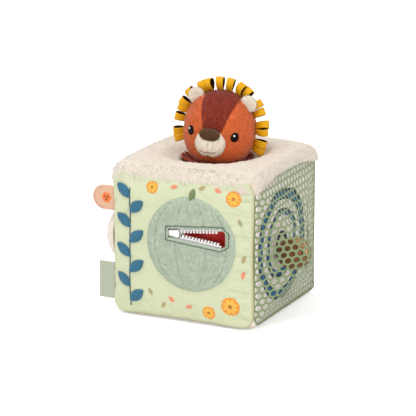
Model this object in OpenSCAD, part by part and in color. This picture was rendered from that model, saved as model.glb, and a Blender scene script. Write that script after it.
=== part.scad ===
// Soft activity cube for a baby. A foam block is dressed in sewn panels: a fur top with a round
// well, a padded front with a zipped pocket, and a net side that holds a loose ball.
// A stuffed lion head on a gathered sleeve rises out of the well.
// The origin is the centre of the base, +Z is up and the padded front faces -Y.

/* [Cube] */
// Outer edge of the sewn cube
cube_edge = 150; // [140:1:170]
// Radius of the sewn edges
edge_round = 8; // [6:0.5:11]
// How far the fur top swells above the cube's upper edges
top_crown = 5; // [3:0.5:8]
// Thickness of the fur top, pile included
fur_thick = 6; // [4:0.5:8]
// Thickness of the plush on the left side and the back
plush_thick = 4; // [2:0.5:6]
// Thickness of the plain cloth on the front, the right side and the base
cloth_thick = 3; // [1.5:0.5:4]

/* [Front pad] */
// Distance of the pad's seam from the cube's edges
pad_margin = 2; // [1:0.5:5]
// Corner radius of the pad
pad_corner = 14; // [8:1:24]
// Thickness of the pad at its seam
pad_thick = 6; // [5:0.5:9]
// Extra thickness that the filling gives in the middle
pad_crown = 3.5; // [2.5:0.5:5]
// How far the pad's sides pull in between its corners
pad_draw_in = 1; // [0.5:0.25:2]

/* [Plush shapes on the pad] */
// Radius of the round plush melon
melon_r = 47; // [45:1:50]
// Melon centre to the right of the pad centre
melon_x = 12; // [9:1:14]
// Melon centre above the pad centre
melon_z = 7; // [3:1:11]
// Thickness of the melon's plush
melon_thick = 2; // [1.5:0.25:3]
// Length of a vine leaf
leaf_length = 18; // [14:1:20]
// Half the width of a vine leaf
leaf_half_w = 5; // [3:0.5:6]
// Thickness of a leaf
leaf_thick = 1.2; // [0.8:0.1:2]

/* [Zip pocket] */
// Height of the zip above the pad centre
zip_rise = 16; // [10:1:22]
// Place of the first tooth to the right of the pad centre
zip_start_x = 1; // [-4:1:4]
// Length of a row of teeth
zip_length = 42; // [34:1:44]
// Spacing of the teeth along a row
tooth_pitch = 3.4; // [2.8:0.1:4]
// Length of a tooth from its bead to its tip
tooth_length = 2.8; // [2.2:0.1:3.4]
// Thickness of a tooth
tooth_thick = 2.6; // [2:0.1:3]
// Radius of the bead that carries the teeth
bead_r = 0.9; // [0.6:0.1:1.1]
// Width of a zip tape beside its bead
tape_w = 6.5; // [5:0.5:7]
// Thickness of a zip tape
tape_thick = 0.7; // [0.4:0.1:0.8]
// Angle that each lip stands open at rest
zip_open = 5.6; // [5.2:0.1:6.2]
// Length of the slider
slider_length = 11; // [9:0.5:12]
// Width of the slider
slider_w = 7.5; // [6:0.5:9]
// Thickness of each slider plate
slider_plate = 1; // [0.8:0.1:1.2]
// Depth of the lined pocket behind the front cloth
pocket_depth = 10; // [6:1:14]
// Thickness of the pocket lining
lining_thick = 0.8; // [0.5:0.1:1.2]

/* [Net side] */
// Diameter of the loose ball
ball_d = 34; // [26:1:38]
// Ball centre in front of (-) or behind the cube centre
ball_y = -18; // [-24:1:10]
// Ball centre above the base
ball_z = 66; // [50:1:90]
// Rows of gaps in the net
net_rows = 16; // [10:2:18]
// Gaps in a row of the net
net_columns = 12; // [8:1:14]
// Share of each cell that is open
net_open = 0.74; // [0.5:0.02:0.85]
// Thickness of the net
net_thick = 0.8; // [0.6:0.1:1.2]

/* [Seam tab and label] */
// Height of the tab's centre above the base
tab_z = 117; // [105:1:125]
// Height of the tab
tab_h = 25; // [18:1:28]
// How far the tab stands out of the seam
tab_reach = 21; // [16:1:26]
// Thickness of the tab
tab_thick = 2.2; // [1.4:0.2:2.6]
// Height of the label's centre above the base
label_z = 33; // [32:1:60]
// Height of the folded label
label_h = 37; // [20:1:40]
// How far the label stands out of the seam
label_reach = 15; // [10:1:20]
// Thickness of the folded label
label_thick = 1.6; // [1.2:0.1:2]

/* [Lion] */
// Width of the head
head_w = 71; // [66:1:74]
// Crown of the head above its centre
head_up = 40; // [36:1:44]
// Chin of the head below its centre
head_down = 38; // [35:1:40]
// Height of the head's centre above the cube's top edges
head_rise = 27; // [27:1:34]
// Turn of the face towards +X
head_yaw = 10; // [-20:1:20]
// Sideways tilt of the head
head_roll = 4; // [-6:1:6]
// Thickness of the head's plush
skin_thick = 2.2; // [1.5:0.1:3]
// Half the width of the forehead strip above the nose
gusset_low = 8; // [6:0.5:10]
// Half the width of the forehead strip at the crown
gusset_high = 20; // [14:0.5:24]
// Radius of the muzzle
muzzle_r = 14.5; // [11:0.5:16]
// Half the width of the nose
nose_half_w = 9.5; // [7:0.5:11]
// Radius of an ear
ear_r = 8.5; // [6:0.5:10]
// Radius of an embroidered eye
eye_r = 4.2; // [3:0.2:5]
// Number of ribbon loops in the mane
loop_count = 18; // [12:1:20]
// Width of the mane ribbon
ribbon_w = 7.5; // [5:0.5:8]
// Thickness of the mane ribbon
ribbon_thick = 0.8; // [0.5:0.1:1]
// How far a loop stands out of the head seam
loop_reach = 14; // [10:0.5:16]

/* [Well and sleeve] */
// Width of the dip in the fur round the well
dip_w = 20; // [14:1:24]
// Depth of the fur left at the well's rim
rim_thick = 2; // [1.5:0.5:3.5]
// Clear radius of the well round the head
well_gap = 3; // [3:0.5:6]
// Thickness of the well's lining
well_lining_thick = 1.5; // [0.8:0.1:2]
// Height of the well's floor above the base
well_floor = 22; // [18:1:26]
// Length of the gathered sleeve below the head
sleeve_length = 33; // [26:1:36]
// Number of gathers round the sleeve
gathers = 14; // [10:1:18]
// Radius of the stuffed neck
neck_r = 15; // [12:0.5:17]

/* [Hidden] */
$fn = 64;
// Facets on the large balls that give the pad and the top their crowns
crown_fn = 256;
// Gap between pieces that move past each other
running_gap = 0.3;
// Gap between pieces that lie on each other
lay_gap = 0.15;
half = cube_edge / 2;
peak = cube_edge + top_crown;
crown_r = (half * half + top_crown * top_crown) / (2 * top_crown);
core_top = cube_edge - fur_thick;

pad_size = cube_edge - 2 * pad_margin;
pad_half = pad_size / 2;
pad_ball_r = (pad_half * pad_half + pad_crown * pad_crown) / (2 * pad_crown);
pad_front = pad_thick + pad_crown;
draw_r = (pad_half * pad_half + pad_draw_in * pad_draw_in) / (2 * pad_draw_in);
layer_reach = pad_front + 10;
leaf_count = 8;
leaf_turn = 50;
vine_x = (melon_x - melon_r - pad_half) / 2;
vine_low = 15;
vine_high = 26;
leaf_step = (pad_size - vine_low - vine_high) / (leaf_count - 1);

zip_z = half + zip_rise;
zip_arm = 10;
pivot_x = zip_start_x - zip_arm;
tip_overlap = 0.15;
bead_z = tooth_length - tip_overlap + bead_r * 0.6;
tape_top = bead_z + bead_r + tape_w;
lip_end = zip_arm + zip_length + tooth_pitch / 2;
lip_rise = lip_end * sin(zip_open);
tooth_count = floor(zip_length / tooth_pitch);
plate_gap = tooth_thick / 2 + running_gap;
slider_rest = zip_start_x - 3;
slider_travel = zip_length + 10;
slider_nose = 1.5;
post_half = 0.35;
bay_left = pivot_x - 4;
bay_right = slider_rest + slider_travel + slider_nose + 1.5;
bay_low = tape_top + 1;
bay_high = tape_top + lip_rise + 0.6;
window_low = slider_w / 2 + 0.9;
window_high = bead_z + bead_r + lip_rise + 0.4;
mouth_x = pivot_x + lip_end;
// The tapes lie just under the melon plush where the pad has fallen most
mouth_d = norm([mouth_x, zip_rise + bay_high]);
mouth_fall = pad_ball_r - sqrt(pad_ball_r * pad_ball_r - mouth_d * mouth_d);
zip_level = pad_front - mouth_fall - tape_thick / 2 - running_gap;
bay_floor = zip_level - plate_gap - slider_plate - running_gap;
pocket_left = zip_start_x + 2;
pocket_right = mouth_x + 1;
pocket_half_h = bay_low + 1;
pocket_corner = 5;

ball_r = ball_d / 2;
net_inset = 3;
net_half = half - net_inset;
net_lift = 0.4;
tent_soft = 0.15;
tent_h = (ball_d + 2 * running_gap + 1.6) / (sqrt(1 + tent_soft * tent_soft) - tent_soft);

flap_y = -half - pad_thick / 2;
seam_x = -pad_half - running_gap;

head_z = cube_edge + head_rise;
head_n = 2.2;
head_steps = 24;
seam_y = 3;
head_low = head_z - head_down;
well_r = head_w / 2 + well_gap;
mane_low = -26;
mane_step = (180 - 2 * mane_low) / (loop_count - 1);
loop_bulge = 6;
ear_angle = 40;
eye_turn = 39;
eye_lift = 8;
sleeve_top = head_low - 2;
sleeve_low = sleeve_top - sleeve_length;
sleeve_wall = 2;
gather_depth = 1.5;
sleeve_r = well_r - running_gap - gather_depth;
ruffle_height = 13;
ruffle_low_r = neck_r + 3;
ruffle_thick = 0.9;
ruffle_high_r = sleeve_r - ruffle_thick;

// Rectangle with round corners, centred
module round_plate(w, h, r) {
    square([w - 2 * r, h], center = true);
    square([w, h - 2 * r], center = true);
    for (sx = [-1, 1], sy = [-1, 1])
        translate([sx * (w / 2 - r), sy * (h / 2 - r)]) circle(r);
}

// Outside of the sewn cube: round edges and a crowned top
module cube_outside() {
    intersection() {
        linear_extrude(peak) round_plate(cube_edge, cube_edge, edge_round);
        translate([0, half, peak / 2]) rotate([90, 0, 0])
            linear_extrude(cube_edge) round_plate(cube_edge, peak, edge_round);
        translate([-half, 0, peak / 2]) rotate([90, 0, 90])
            linear_extrude(cube_edge) round_plate(cube_edge, peak, edge_round);
        translate([0, 0, peak - crown_r]) sphere(crown_r, $fn = crown_fn);
    }
}

// The plain block of foam before it is cut
module foam_block() {
    translate([-half + plush_thick, -half + cloth_thick, cloth_thick])
        cube([cube_edge - plush_thick - cloth_thick, cube_edge - plush_thick - cloth_thick,
              core_top - cloth_thick]);
}

// The wedge of space that belongs to one face, so that neighbouring panels meet at a mitred seam
module face_wedge(turn) {
    reach = 2 * cube_edge;
    fan = [[0, 0], [-reach, reach], [reach, reach]];
    translate([0, 0, half]) rotate(turn) intersection() {
        rotate([90, 0, 0]) linear_extrude(2 * reach, center = true) polygon(fan);
        rotate([90, 0, 90]) linear_extrude(2 * reach, center = true) polygon(fan);
    }
}

// One sewn panel of the cube
module panel(turn) {
    intersection() {
        difference() {
            cube_outside();
            foam_block();
        }
        face_wedge(turn);
    }
}

// Extrudes an outline drawn on the front, in x and in height from the pad centre, out of the front
module out_of_front(from, to) {
    translate([0, -half - from, half]) rotate([90, 0, 0]) linear_extrude(to - from) children();
}

// The large ball whose face gives the pad its crown
module pad_ball(grow) {
    translate([0, pad_ball_r - half - pad_front, half]) sphere(pad_ball_r + grow, $fn = crown_fn);
}

// A sewn-on layer that follows the pad's crown
module on_pad(thick) {
    intersection() {
        out_of_front(0, layer_reach) children();
        difference() {
            pad_ball(thick);
            pad_ball(0);
        }
    }
}

module pad_outline() {
    difference() {
        round_plate(pad_size, pad_size, pad_corner);
        for (a = [0, 90, 180, 270])
            rotate(a) translate([pad_half - pad_draw_in + draw_r, 0]) circle(draw_r, $fn = crown_fn);
    }
}

// Outline of the space under the melon plush in which the zip lips swing
module bay_outline() {
    translate([0, zip_rise]) polygon([
        [bay_left, -bay_low], [mouth_x, -bay_high], [bay_right, -bay_low],
        [bay_right, bay_low], [mouth_x, bay_high], [bay_left, bay_low]]);
}

// Outline of the mouth cut in the melon plush, which shows the teeth
module window_outline() {
    translate([0, zip_rise]) polygon([
        [bay_left + 1, -window_low], [mouth_x, -window_high], [bay_right - 1, -window_low],
        [bay_right - 1, window_low], [mouth_x, window_high], [bay_left + 1, window_low]]);
}

module pocket_outline(grow) {
    translate([(pocket_left + pocket_right) / 2, zip_rise])
        round_plate(pocket_right - pocket_left + 2 * grow, 2 * (pocket_half_h + grow), pocket_corner + grow);
}

module well(r, from) {
    translate([0, 0, from]) cylinder(r = r, h = peak - from + 1);
}

module foam_core() {
    color("#efe9d8") difference() {
        foam_block();
        well(well_r + well_lining_thick, well_floor - well_lining_thick);
        out_of_front(-cloth_thick - pocket_depth - lining_thick, 1) pocket_outline(lining_thick);
    }
}

module well_lining() {
    color("#e6dccb") difference() {
        translate([0, 0, well_floor - well_lining_thick])
            cylinder(r = well_r + well_lining_thick, h = core_top - well_floor + well_lining_thick);
        well(well_r, well_floor);
    }
}

// The fur dips towards the rim of the well
module fur_top() {
    rim_z = core_top + rim_thick;
    color("#efe6da") difference() {
        panel([0, 0, 0]);
        well(well_r, core_top - 1);
        translate([0, 0, rim_z]) cylinder(r1 = well_r, r2 = well_r + dip_w, h = peak - rim_z);
    }
}

module left_plush() {
    color("#ece2d5") panel([0, -90, 0]);
}

module back_plush() {
    color("#ece2d5") panel([-90, 0, 0]);
}

module base_cloth() {
    color("#e5dccd") panel([180, 0, 0]);
}

module front_cloth() {
    color("#e8dfd0") difference() {
        panel([90, 0, 0]);
        out_of_front(-cloth_thick - 1, 1) pocket_outline(lining_thick);
    }
}

module right_cloth() {
    color("#e9ded2") panel([0, 90, 0]);
}

module front_pad() {
    color("#dde3be") difference() {
        intersection() {
            out_of_front(0, layer_reach) pad_outline();
            pad_ball(0);
        }
        out_of_front(-1, layer_reach) pocket_outline(lining_thick);
        out_of_front(bay_floor, layer_reach) bay_outline();
    }
}

module melon_plush() {
    color("#a9c0ab") on_pad(melon_thick) difference() {
        translate([melon_x, melon_z]) circle(melon_r);
        window_outline();
    }
}

// Pointed leaf along +X from the origin
module leaf(length, half_w) {
    arc_r = (length * length / 4 + half_w * half_w) / (2 * half_w);
    intersection() {
        translate([length / 2, arc_r - half_w]) circle(arc_r);
        translate([length / 2, half_w - arc_r]) circle(arc_r);
    }
}

// Leaves in turn right and left of an upright line beside the melon
module vine_leaves() {
    color("#33677a") for (i = [0:leaf_count - 1])
        on_pad(leaf_thick) translate([vine_x, vine_low - pad_half + i * leaf_step])
            rotate(i % 2 == 0 ? 90 - leaf_turn : 90 + leaf_turn) leaf(leaf_length, leaf_half_w);
}

module zip_pocket_lining() {
    color("#d92b2b") difference() {
        out_of_front(-cloth_thick - pocket_depth - lining_thick, bay_floor) pocket_outline(lining_thick);
        out_of_front(-cloth_thick - pocket_depth, bay_floor + 1) pocket_outline(0);
    }
}

// Places a lip, drawn closed along +X from its pivot, at its open rest
module lip_place(side) {
    translate([pivot_x, -half - zip_level, zip_z]) rotate([0, -side * zip_open, 0])
        mirror([0, 0, side > 0 ? 0 : 1]) children();
}

module zip_tape(side) {
    color("#f1eded") lip_place(side)
        translate([-2, -tape_thick / 2, bead_z + bead_r]) cube([lip_end + 2, tape_thick, tape_w]);
}

// One moulded tooth that stands down from the bead towards its tip
module tooth() {
    waist = tooth_pitch * 0.19;
    knob = tooth_pitch * 0.27;
    tip = tooth_pitch * 0.17;
    root = tooth_length + bead_r * 0.6;
    rotate([90, 0, 0]) linear_extrude(tooth_thick, center = true) polygon([
        [-knob, root], [-waist, tooth_length * 0.55], [-knob, tooth_length * 0.35], [-tip, 0],
        [tip, 0], [knob, tooth_length * 0.35], [waist, tooth_length * 0.55], [knob, root]]);
}

module zip_teeth(side) {
    shift = side > 0 ? 0.25 : 0.75;
    color("#f4f2f1") lip_place(side) {
        translate([zip_arm - 1, 0, bead_z]) rotate([0, 90, 0]) cylinder(r = bead_r, h = lip_end - zip_arm + 1);
        for (i = [0:tooth_count - 1])
            translate([zip_arm + (i + shift) * tooth_pitch, 0, -tip_overlap]) tooth();
    }
}

module slider_outline() {
    w = slider_w / 2;
    translate([slider_nose - slider_length, 0]) polygon([
        [0, -w * 0.55], [slider_length * 0.12, -w * 0.75], [slider_length * 0.5, -w * 0.8],
        [slider_length * 0.72, -w], [slider_length * 0.92, -w], [slider_length, -w * 0.6],
        [slider_length, w * 0.6], [slider_length * 0.92, w], [slider_length * 0.72, w],
        [slider_length * 0.5, w * 0.8], [slider_length * 0.12, w * 0.75], [0, w * 0.55]]);
}

// Two plates joined by a thin post at the nose, with a low crown on the outer plate
module zip_slider() {
    crown_len = slider_length * 0.55;
    crown_half = slider_w * 0.16;
    color("#f4f2f1") translate([slider_rest, -half - zip_level, zip_z]) {
        for (level = [plate_gap, -plate_gap - slider_plate])
            translate([0, -level, 0]) rotate([90, 0, 0]) linear_extrude(slider_plate) slider_outline();
        translate([-0.8, -plate_gap - 0.2, -post_half]) cube([1.6, 2 * plate_gap + 0.4, 2 * post_half]);
        translate([slider_nose - slider_length * 0.8, -plate_gap - slider_plate, 0]) rotate([0, 90, 0])
            cylinder(r = crown_half, h = crown_len);
    }
}

module net_ball() {
    color("#6b4226") translate([half + running_gap + ball_r, ball_y, ball_z]) sphere(ball_r);
}

// Share of the way from the ball's centre (0) to the net's border (1)
function tent_share(y, z) = max(
    (y > ball_y) ? (y - ball_y) / (net_half - ball_y) : (ball_y - y) / (net_half + ball_y),
    (z > ball_z) ? (z - ball_z) / (half + net_half - ball_z) : (ball_z - z) / (ball_z - net_inset));
// Drop of the cube's round edge past the end of its flat face
function edge_drop(d) = d <= 0 ? 0 : edge_round - sqrt(edge_round * edge_round - d * d);
// Height of the net over the right face: a tent from the sewn border to the ball
function net_height(y, z) = net_lift
    + tent_h * (sqrt(1 + tent_soft * tent_soft) - sqrt(pow(tent_share(y, z), 2) + tent_soft * tent_soft))
    - max(edge_drop(abs(y) - half + edge_round), edge_drop(edge_round - z), edge_drop(z - peak + edge_round));
function net_point(y, z, lift) = [half + net_height(y, z) + lift, y, z];

// The net's knots lie on zigzag lines, one between each two rows of gaps
net_line_step = 2 * net_half / net_rows;
net_knot_step = net_half / (net_columns + 0.5);
net_knots = 2 * net_columns + 1;
function knot_z(line, k) = (line == 0 || line == net_rows) ? net_inset + line * net_line_step
    : net_inset + (line + ((line + k) % 2 == 0 ? 1 : -1) / 6) * net_line_step;
function knot(line, k) = [k * net_knot_step - net_half, knot_z(line, k)];
// Corners of one gap's cell, anticlockwise as seen from outside
function cell(row, col) = let (k = 2 * col + row % 2)
    [knot(row, k), knot(row, k + 1), knot(row, k + 2), knot(row + 1, k + 2), knot(row + 1, k + 1), knot(row + 1, k)];
function middle(p) = [for (a = [0, 1]) (p[0][a] + p[1][a] + p[2][a] + p[3][a] + p[4][a] + p[5][a]) / 6];
net_cells = [for (row = [0:net_rows - 1], col = [0:net_columns - 1]) cell(row, col)];
function net_knot_index(line, k, back) = (line * (net_knots + 1) + k) * 2 + back;
knot_total = (net_rows + 1) * (net_knots + 1) * 2;
function hole_index(c, i, back) = knot_total + (c * 6 + i % 6) * 2 + back;
function cell_knot(row, col, i, back) = let (k = 2 * col + row % 2, j = i % 6)
    net_knot_index(j < 3 ? row : row + 1, k + (j < 3 ? j : 5 - j), back);

module net_cover() {
    points = concat(
        [for (line = [0:net_rows], k = [0:net_knots], back = [0, 1])
            let (p = knot(line, k)) net_point(p[0], p[1], back == 0 ? net_thick : 0)],
        [for (c = net_cells) let (m = middle(c)) for (p = c, back = [0, 1])
            let (y = m[0] + (p[0] - m[0]) * net_open, z = m[1] + (p[1] - m[1]) * net_open)
                net_point(y, z, back == 0 ? net_thick : 0)]);
    ring_faces = [for (row = [0:net_rows - 1], col = [0:net_columns - 1], i = [0:5])
        let (c = row * net_columns + col,
             a = cell_knot(row, col, i, 0), b = cell_knot(row, col, i + 1, 0),
             p = hole_index(c, i, 0), q = hole_index(c, i + 1, 0))
        each [[a, p, b], [b, p, q], [a + 1, b + 1, p + 1], [b + 1, q + 1, p + 1], [p, p + 1, q], [q, p + 1, q + 1]]];
    // Half cells at the row ends stay closed as the selvedge
    side_faces = [for (row = [0:net_rows - 1])
        let (k = row % 2 == 0 ? net_knots - 1 : 0,
             a = net_knot_index(row, k, 0), b = net_knot_index(row, k + 1, 0),
             c = net_knot_index(row + 1, k + 1, 0), d = net_knot_index(row + 1, k, 0))
        each [[a, d, b], [b, d, c], [a + 1, b + 1, d + 1], [b + 1, c + 1, d + 1]]];
    rim_faces = concat(
        [for (row = [0:net_rows - 1], k = [0, net_knots])
            let (a = net_knot_index(row, k, 0), b = net_knot_index(row + 1, k, 0))
            each k == 0 ? [[a, a + 1, b], [b, a + 1, b + 1]] : [[a, b, a + 1], [b, b + 1, a + 1]]],
        [for (line = [0, net_rows], k = [0:net_knots - 1])
            let (a = net_knot_index(line, k, 0), b = net_knot_index(line, k + 1, 0))
            each line == 0 ? [[a, b, a + 1], [b, b + 1, a + 1]] : [[a, a + 1, b], [b, a + 1, b + 1]]]);
    color("#a3b58a") polyhedron(points, concat(ring_faces, side_faces, rim_faces));
}

// A flap sewn in the seam at the pad's left side: a rolled root edge and a flat leaf towards -X
module seam_flap(z, h, thick) {
    translate([seam_x - thick / 2, flap_y, z]) {
        cylinder(d = thick, h = h, center = true);
        translate([0, thick / 2, 0]) rotate([90, 0, 0]) linear_extrude(thick) children();
    }
}

module seam_tab() {
    bow = tab_h / 2;
    color("#f3c9b1") seam_flap(tab_z, tab_h, tab_thick) intersection() {
        translate([-tab_reach, -bow]) square([tab_reach, tab_h]);
        union() {
            translate([-tab_reach + bow, -bow]) square([tab_reach, tab_h]);
            translate([-tab_reach + bow, 0]) circle(bow);
        }
    }
}

// A ribbon label folded once, with its fold outwards
module seam_label() {
    fold_r = label_thick / 2;
    slit = label_thick / 4;
    color("#d6d4c6") translate([seam_x - fold_r, flap_y, label_z]) {
        cylinder(r = fold_r, h = label_h, center = true);
        linear_extrude(label_h, center = true) difference() {
            union() {
                translate([-label_reach + fold_r, -fold_r]) square([label_reach - fold_r, label_thick]);
                translate([-label_reach + fold_r, 0]) circle(fold_r);
            }
            translate([-label_reach + fold_r, -slit / 2]) square([label_reach - 3 * fold_r, slit]);
        }
    }
}

// Radius of the head's round outline at an angle above the level of its centre
function head_radius(a, grow) = 1 / pow(
    pow(abs(cos(a)) / (head_w / 2 + grow), head_n)
    + pow(abs(sin(a)) / ((a > 0 ? head_up : head_down) + grow), head_n), 1 / head_n);

module head_place() {
    translate([0, 0, head_z]) rotate([0, 0, head_yaw]) rotate([0, head_roll, 0]) children();
}

module head_form(grow) {
    rotate_extrude() polygon([for (i = [0:head_steps])
        let (a = -90 + 180 * i / head_steps, r = head_radius(a, grow)) [r * cos(a), r * sin(a)]]);
}

module head_skin() {
    difference() {
        head_form(0);
        head_form(-skin_thick);
    }
}

// The forehead strip seen from the front, wide at the crown and narrow at the nose
module gusset_cut() {
    top = head_up + 2;
    rotate([90, 0, 0]) translate([0, 0, -seam_y]) linear_extrude(head_w) polygon([
        [-gusset_low, 2], [gusset_low, 2], [gusset_high, top], [-gusset_high, top]]);
}

module head_half(side) {
    color("#da6b40") head_place() difference() {
        intersection() {
            head_skin();
            translate([side > 0 ? 0 : -head_w, seam_y - head_w, -head_w]) cube([head_w, head_w, 2 * head_w]);
        }
        gusset_cut();
    }
}

module head_gusset() {
    color("#8c4036") head_place() intersection() {
        head_skin();
        gusset_cut();
    }
}

module head_back() {
    color("#d2653c") head_place() intersection() {
        head_skin();
        translate([-head_w, seam_y, -head_w]) cube([2 * head_w, head_w, 2 * head_w]);
    }
}

module head_stuffing() {
    color("#f4f2ee") head_place() head_form(-skin_thick - lay_gap);
}

// A stuffed bun: round about Z with radius r and half thickness t
module bun(r, t) {
    steps = 16;
    power = 2.3;
    rotate_extrude() polygon([for (i = [0:steps])
        let (a = -90 + 180 * i / steps,
             d = 1 / pow(pow(abs(cos(a)) / r, power) + pow(abs(sin(a)) / t, power), 1 / power))
        [d * cos(a), d * sin(a)]]);
}

module muzzle_form(grow) {
    translate([0, -head_w / 2 + 3.5, -5]) rotate([90, 0, 0]) bun(muzzle_r + grow, 11 + grow);
}

module muzzle() {
    color("#eadfcb") head_place() difference() {
        muzzle_form(0);
        head_form(lay_gap);
    }
}

module nose() {
    color("#4a3b27") head_place() difference() {
        translate([0, -head_w / 2 - 3.5, 6]) rotate([0, 90, 0]) bun(5.6, nose_half_w);
        head_form(lay_gap);
        muzzle_form(lay_gap);
    }
}

module ear(side) {
    ear_d = head_radius(90 - ear_angle, 0) + ear_r * 0.3;
    ear_half = 3.2;
    color("#ece4d6") head_place() difference() {
        translate([side * ear_d * sin(ear_angle), seam_y - loop_bulge / 2 - ear_half - 0.4, ear_d * cos(ear_angle)])
            rotate([90, 0, 0]) bun(ear_r, ear_half);
        head_form(lay_gap);
    }
}

module eye_patches() {
    color("#1c1614") head_place() for (side = [-1, 1])
        intersection() {
            difference() {
                head_form(0.8);
                head_form(lay_gap);
            }
            rotate([0, 0, side * eye_turn]) rotate([90 - eye_lift, 0, 0]) cylinder(r = eye_r, h = head_w);
        }
}

// Side view of one ribbon loop, outwards along +X from the head seam
module loop_outline() {
    inner_from = loop_reach * 0.22;
    inner_len = loop_reach - inner_from - ribbon_thick;
    function drop(t, from, len, bulge) =
        [from + len / 2 * (1 - cos(t)), bulge / 2 * sin(t) * pow(sin(t / 2), 1.2)];
    difference() {
        polygon([for (t = [0:18:342]) drop(t, 0, loop_reach, loop_bulge * 1.25)]);
        polygon([for (t = [0:18:342]) drop(t, inner_from, inner_len, loop_bulge * 1.25 - 2 * ribbon_thick)]);
    }
}

module mane_loop(i) {
    a = mane_low + (i - 1) * mane_step;
    color("#d9a417") head_place() rotate([0, -a, 0])
        translate([head_radius(a > 90 ? 180 - a : a, 0) + lay_gap, seam_y, 0])
            linear_extrude(ribbon_w, center = true) loop_outline();
}

module neck_plug() {
    color("#c75f38") difference() {
        translate([0, 0, sleeve_low + sleeve_length / 2]) cylinder(r = neck_r, h = sleeve_length);
        head_place() head_form(lay_gap);
    }
}

// Gathered cloth tube, closed at the top round the neck
module neck_sleeve() {
    points = 6 * gathers;
    color("#b9512f") difference() {
        translate([0, 0, sleeve_low]) linear_extrude(sleeve_length) polygon([for (i = [0:points - 1])
            let (a = 360 * i / points, r = sleeve_r + gather_depth * cos(a * gathers)) [r * cos(a), r * sin(a)]]);
        translate([0, 0, sleeve_low - 1])
            cylinder(r = sleeve_r - gather_depth - sleeve_wall, h = sleeve_length + 1 - sleeve_wall);
        translate([0, 0, sleeve_low]) cylinder(r = neck_r + running_gap, h = sleeve_length + 1);
    }
}

// Frilled collar that flares up round the chin
module neck_ruffle() {
    rings = 3;
    columns = 6 * gathers;
    function frill(ring, i, out) = let (s = ring / (rings - 1), a = 360 * i / columns,
        r = ruffle_low_r + (ruffle_high_r - ruffle_low_r) * s + gather_depth * s * cos(a * gathers) + out * ruffle_thick)
        [r * cos(a), r * sin(a), sleeve_top + lay_gap + ruffle_height * s];
    function at(ring, i, out) = (ring * columns + i % columns) * 2 + out;
    points = [for (ring = [0:rings - 1], i = [0:columns - 1], out = [0, 1]) frill(ring, i, out)];
    walls = [for (ring = [0:rings - 2], i = [0:columns - 1])
        let (a = at(ring, i, 1), b = at(ring, i + 1, 1), c = at(ring + 1, i + 1, 1), d = at(ring + 1, i, 1))
        each [[a, c, b], [a, d, c], [a - 1, b - 1, c - 1], [a - 1, c - 1, d - 1]]];
    hems = [for (i = [0:columns - 1])
        let (a = at(0, i, 0), b = at(0, i + 1, 0), c = at(rings - 1, i, 0), d = at(rings - 1, i + 1, 0))
        each [[a, a + 1, b], [b, a + 1, b + 1], [c, d, c + 1], [d, d + 1, c + 1]]];
    color("#a9472a") polyhedron(points, concat(walls, hems));
}

foam_core();
well_lining();
fur_top();
left_plush();
back_plush();
base_cloth();
front_cloth();
right_cloth();
front_pad();
melon_plush();
vine_leaves();
zip_pocket_lining();
zip_tape(1);  // zip_tape_upper
zip_teeth(1);  // zip_teeth_upper
zip_tape(-1);  // zip_tape_lower
zip_teeth(-1);  // zip_teeth_lower
zip_slider();
net_cover();
net_ball();
seam_tab();
seam_label();
neck_sleeve();
neck_ruffle();
neck_plug();
head_stuffing();
head_half(-1);  // head_left
head_half(1);  // head_right
head_gusset();
head_back();
muzzle();
nose();
ear(-1);  // ear_left
ear(1);  // ear_right
eye_patches();
for (i = [1:loop_count])
    mane_loop(i);
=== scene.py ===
import math

import bmesh
import bpy
import numpy as np
from mathutils import Matrix, Vector, noise
from mathutils.bvhtree import BVHTree


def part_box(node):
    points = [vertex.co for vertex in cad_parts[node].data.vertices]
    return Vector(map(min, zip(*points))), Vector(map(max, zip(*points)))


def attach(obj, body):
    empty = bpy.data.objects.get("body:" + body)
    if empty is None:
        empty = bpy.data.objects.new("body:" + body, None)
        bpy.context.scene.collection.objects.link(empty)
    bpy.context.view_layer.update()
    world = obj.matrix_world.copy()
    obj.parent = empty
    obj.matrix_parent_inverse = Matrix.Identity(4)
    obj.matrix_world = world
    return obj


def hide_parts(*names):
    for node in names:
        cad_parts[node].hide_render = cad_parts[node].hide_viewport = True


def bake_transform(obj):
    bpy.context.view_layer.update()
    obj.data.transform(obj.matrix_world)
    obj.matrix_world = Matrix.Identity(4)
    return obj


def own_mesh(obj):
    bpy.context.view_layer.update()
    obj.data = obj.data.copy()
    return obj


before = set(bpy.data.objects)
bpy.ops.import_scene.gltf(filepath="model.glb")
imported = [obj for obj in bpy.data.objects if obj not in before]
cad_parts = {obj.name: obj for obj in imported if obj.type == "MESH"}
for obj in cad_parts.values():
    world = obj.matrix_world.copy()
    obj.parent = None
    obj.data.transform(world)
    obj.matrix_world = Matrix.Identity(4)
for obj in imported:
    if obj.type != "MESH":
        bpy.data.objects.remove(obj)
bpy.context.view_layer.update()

# Foam core
# A block of soft upholstery foam, hot-wire cut, with a round well for the lion and a slot for the
# zip pocket. The sewn cover hides it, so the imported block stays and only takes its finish.
MM = 0.001
sharp_over = math.radians(35)


def linear(hex_colour):
    """The linear RGBA of an sRGB hex colour."""
    channels = [int(hex_colour[i:i + 2], 16) / 255 for i in (1, 3, 5)]
    return [c / 12.92 if c <= 0.04045 else ((c + 0.055) / 1.055) ** 2.4 for c in channels] + [1.0]


def principled(made):
    """The sockets of a material's Principled shader."""
    return made.node_tree.nodes["Principled BSDF"].inputs


def shader(name, **sockets):
    """A new material whose Principled shader has these constant sockets."""
    made = bpy.data.materials.new(name)
    made.use_nodes = True
    for socket, value in sockets.items():
        principled(made)[socket.replace("_", " ")].default_value = value
    return made


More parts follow.
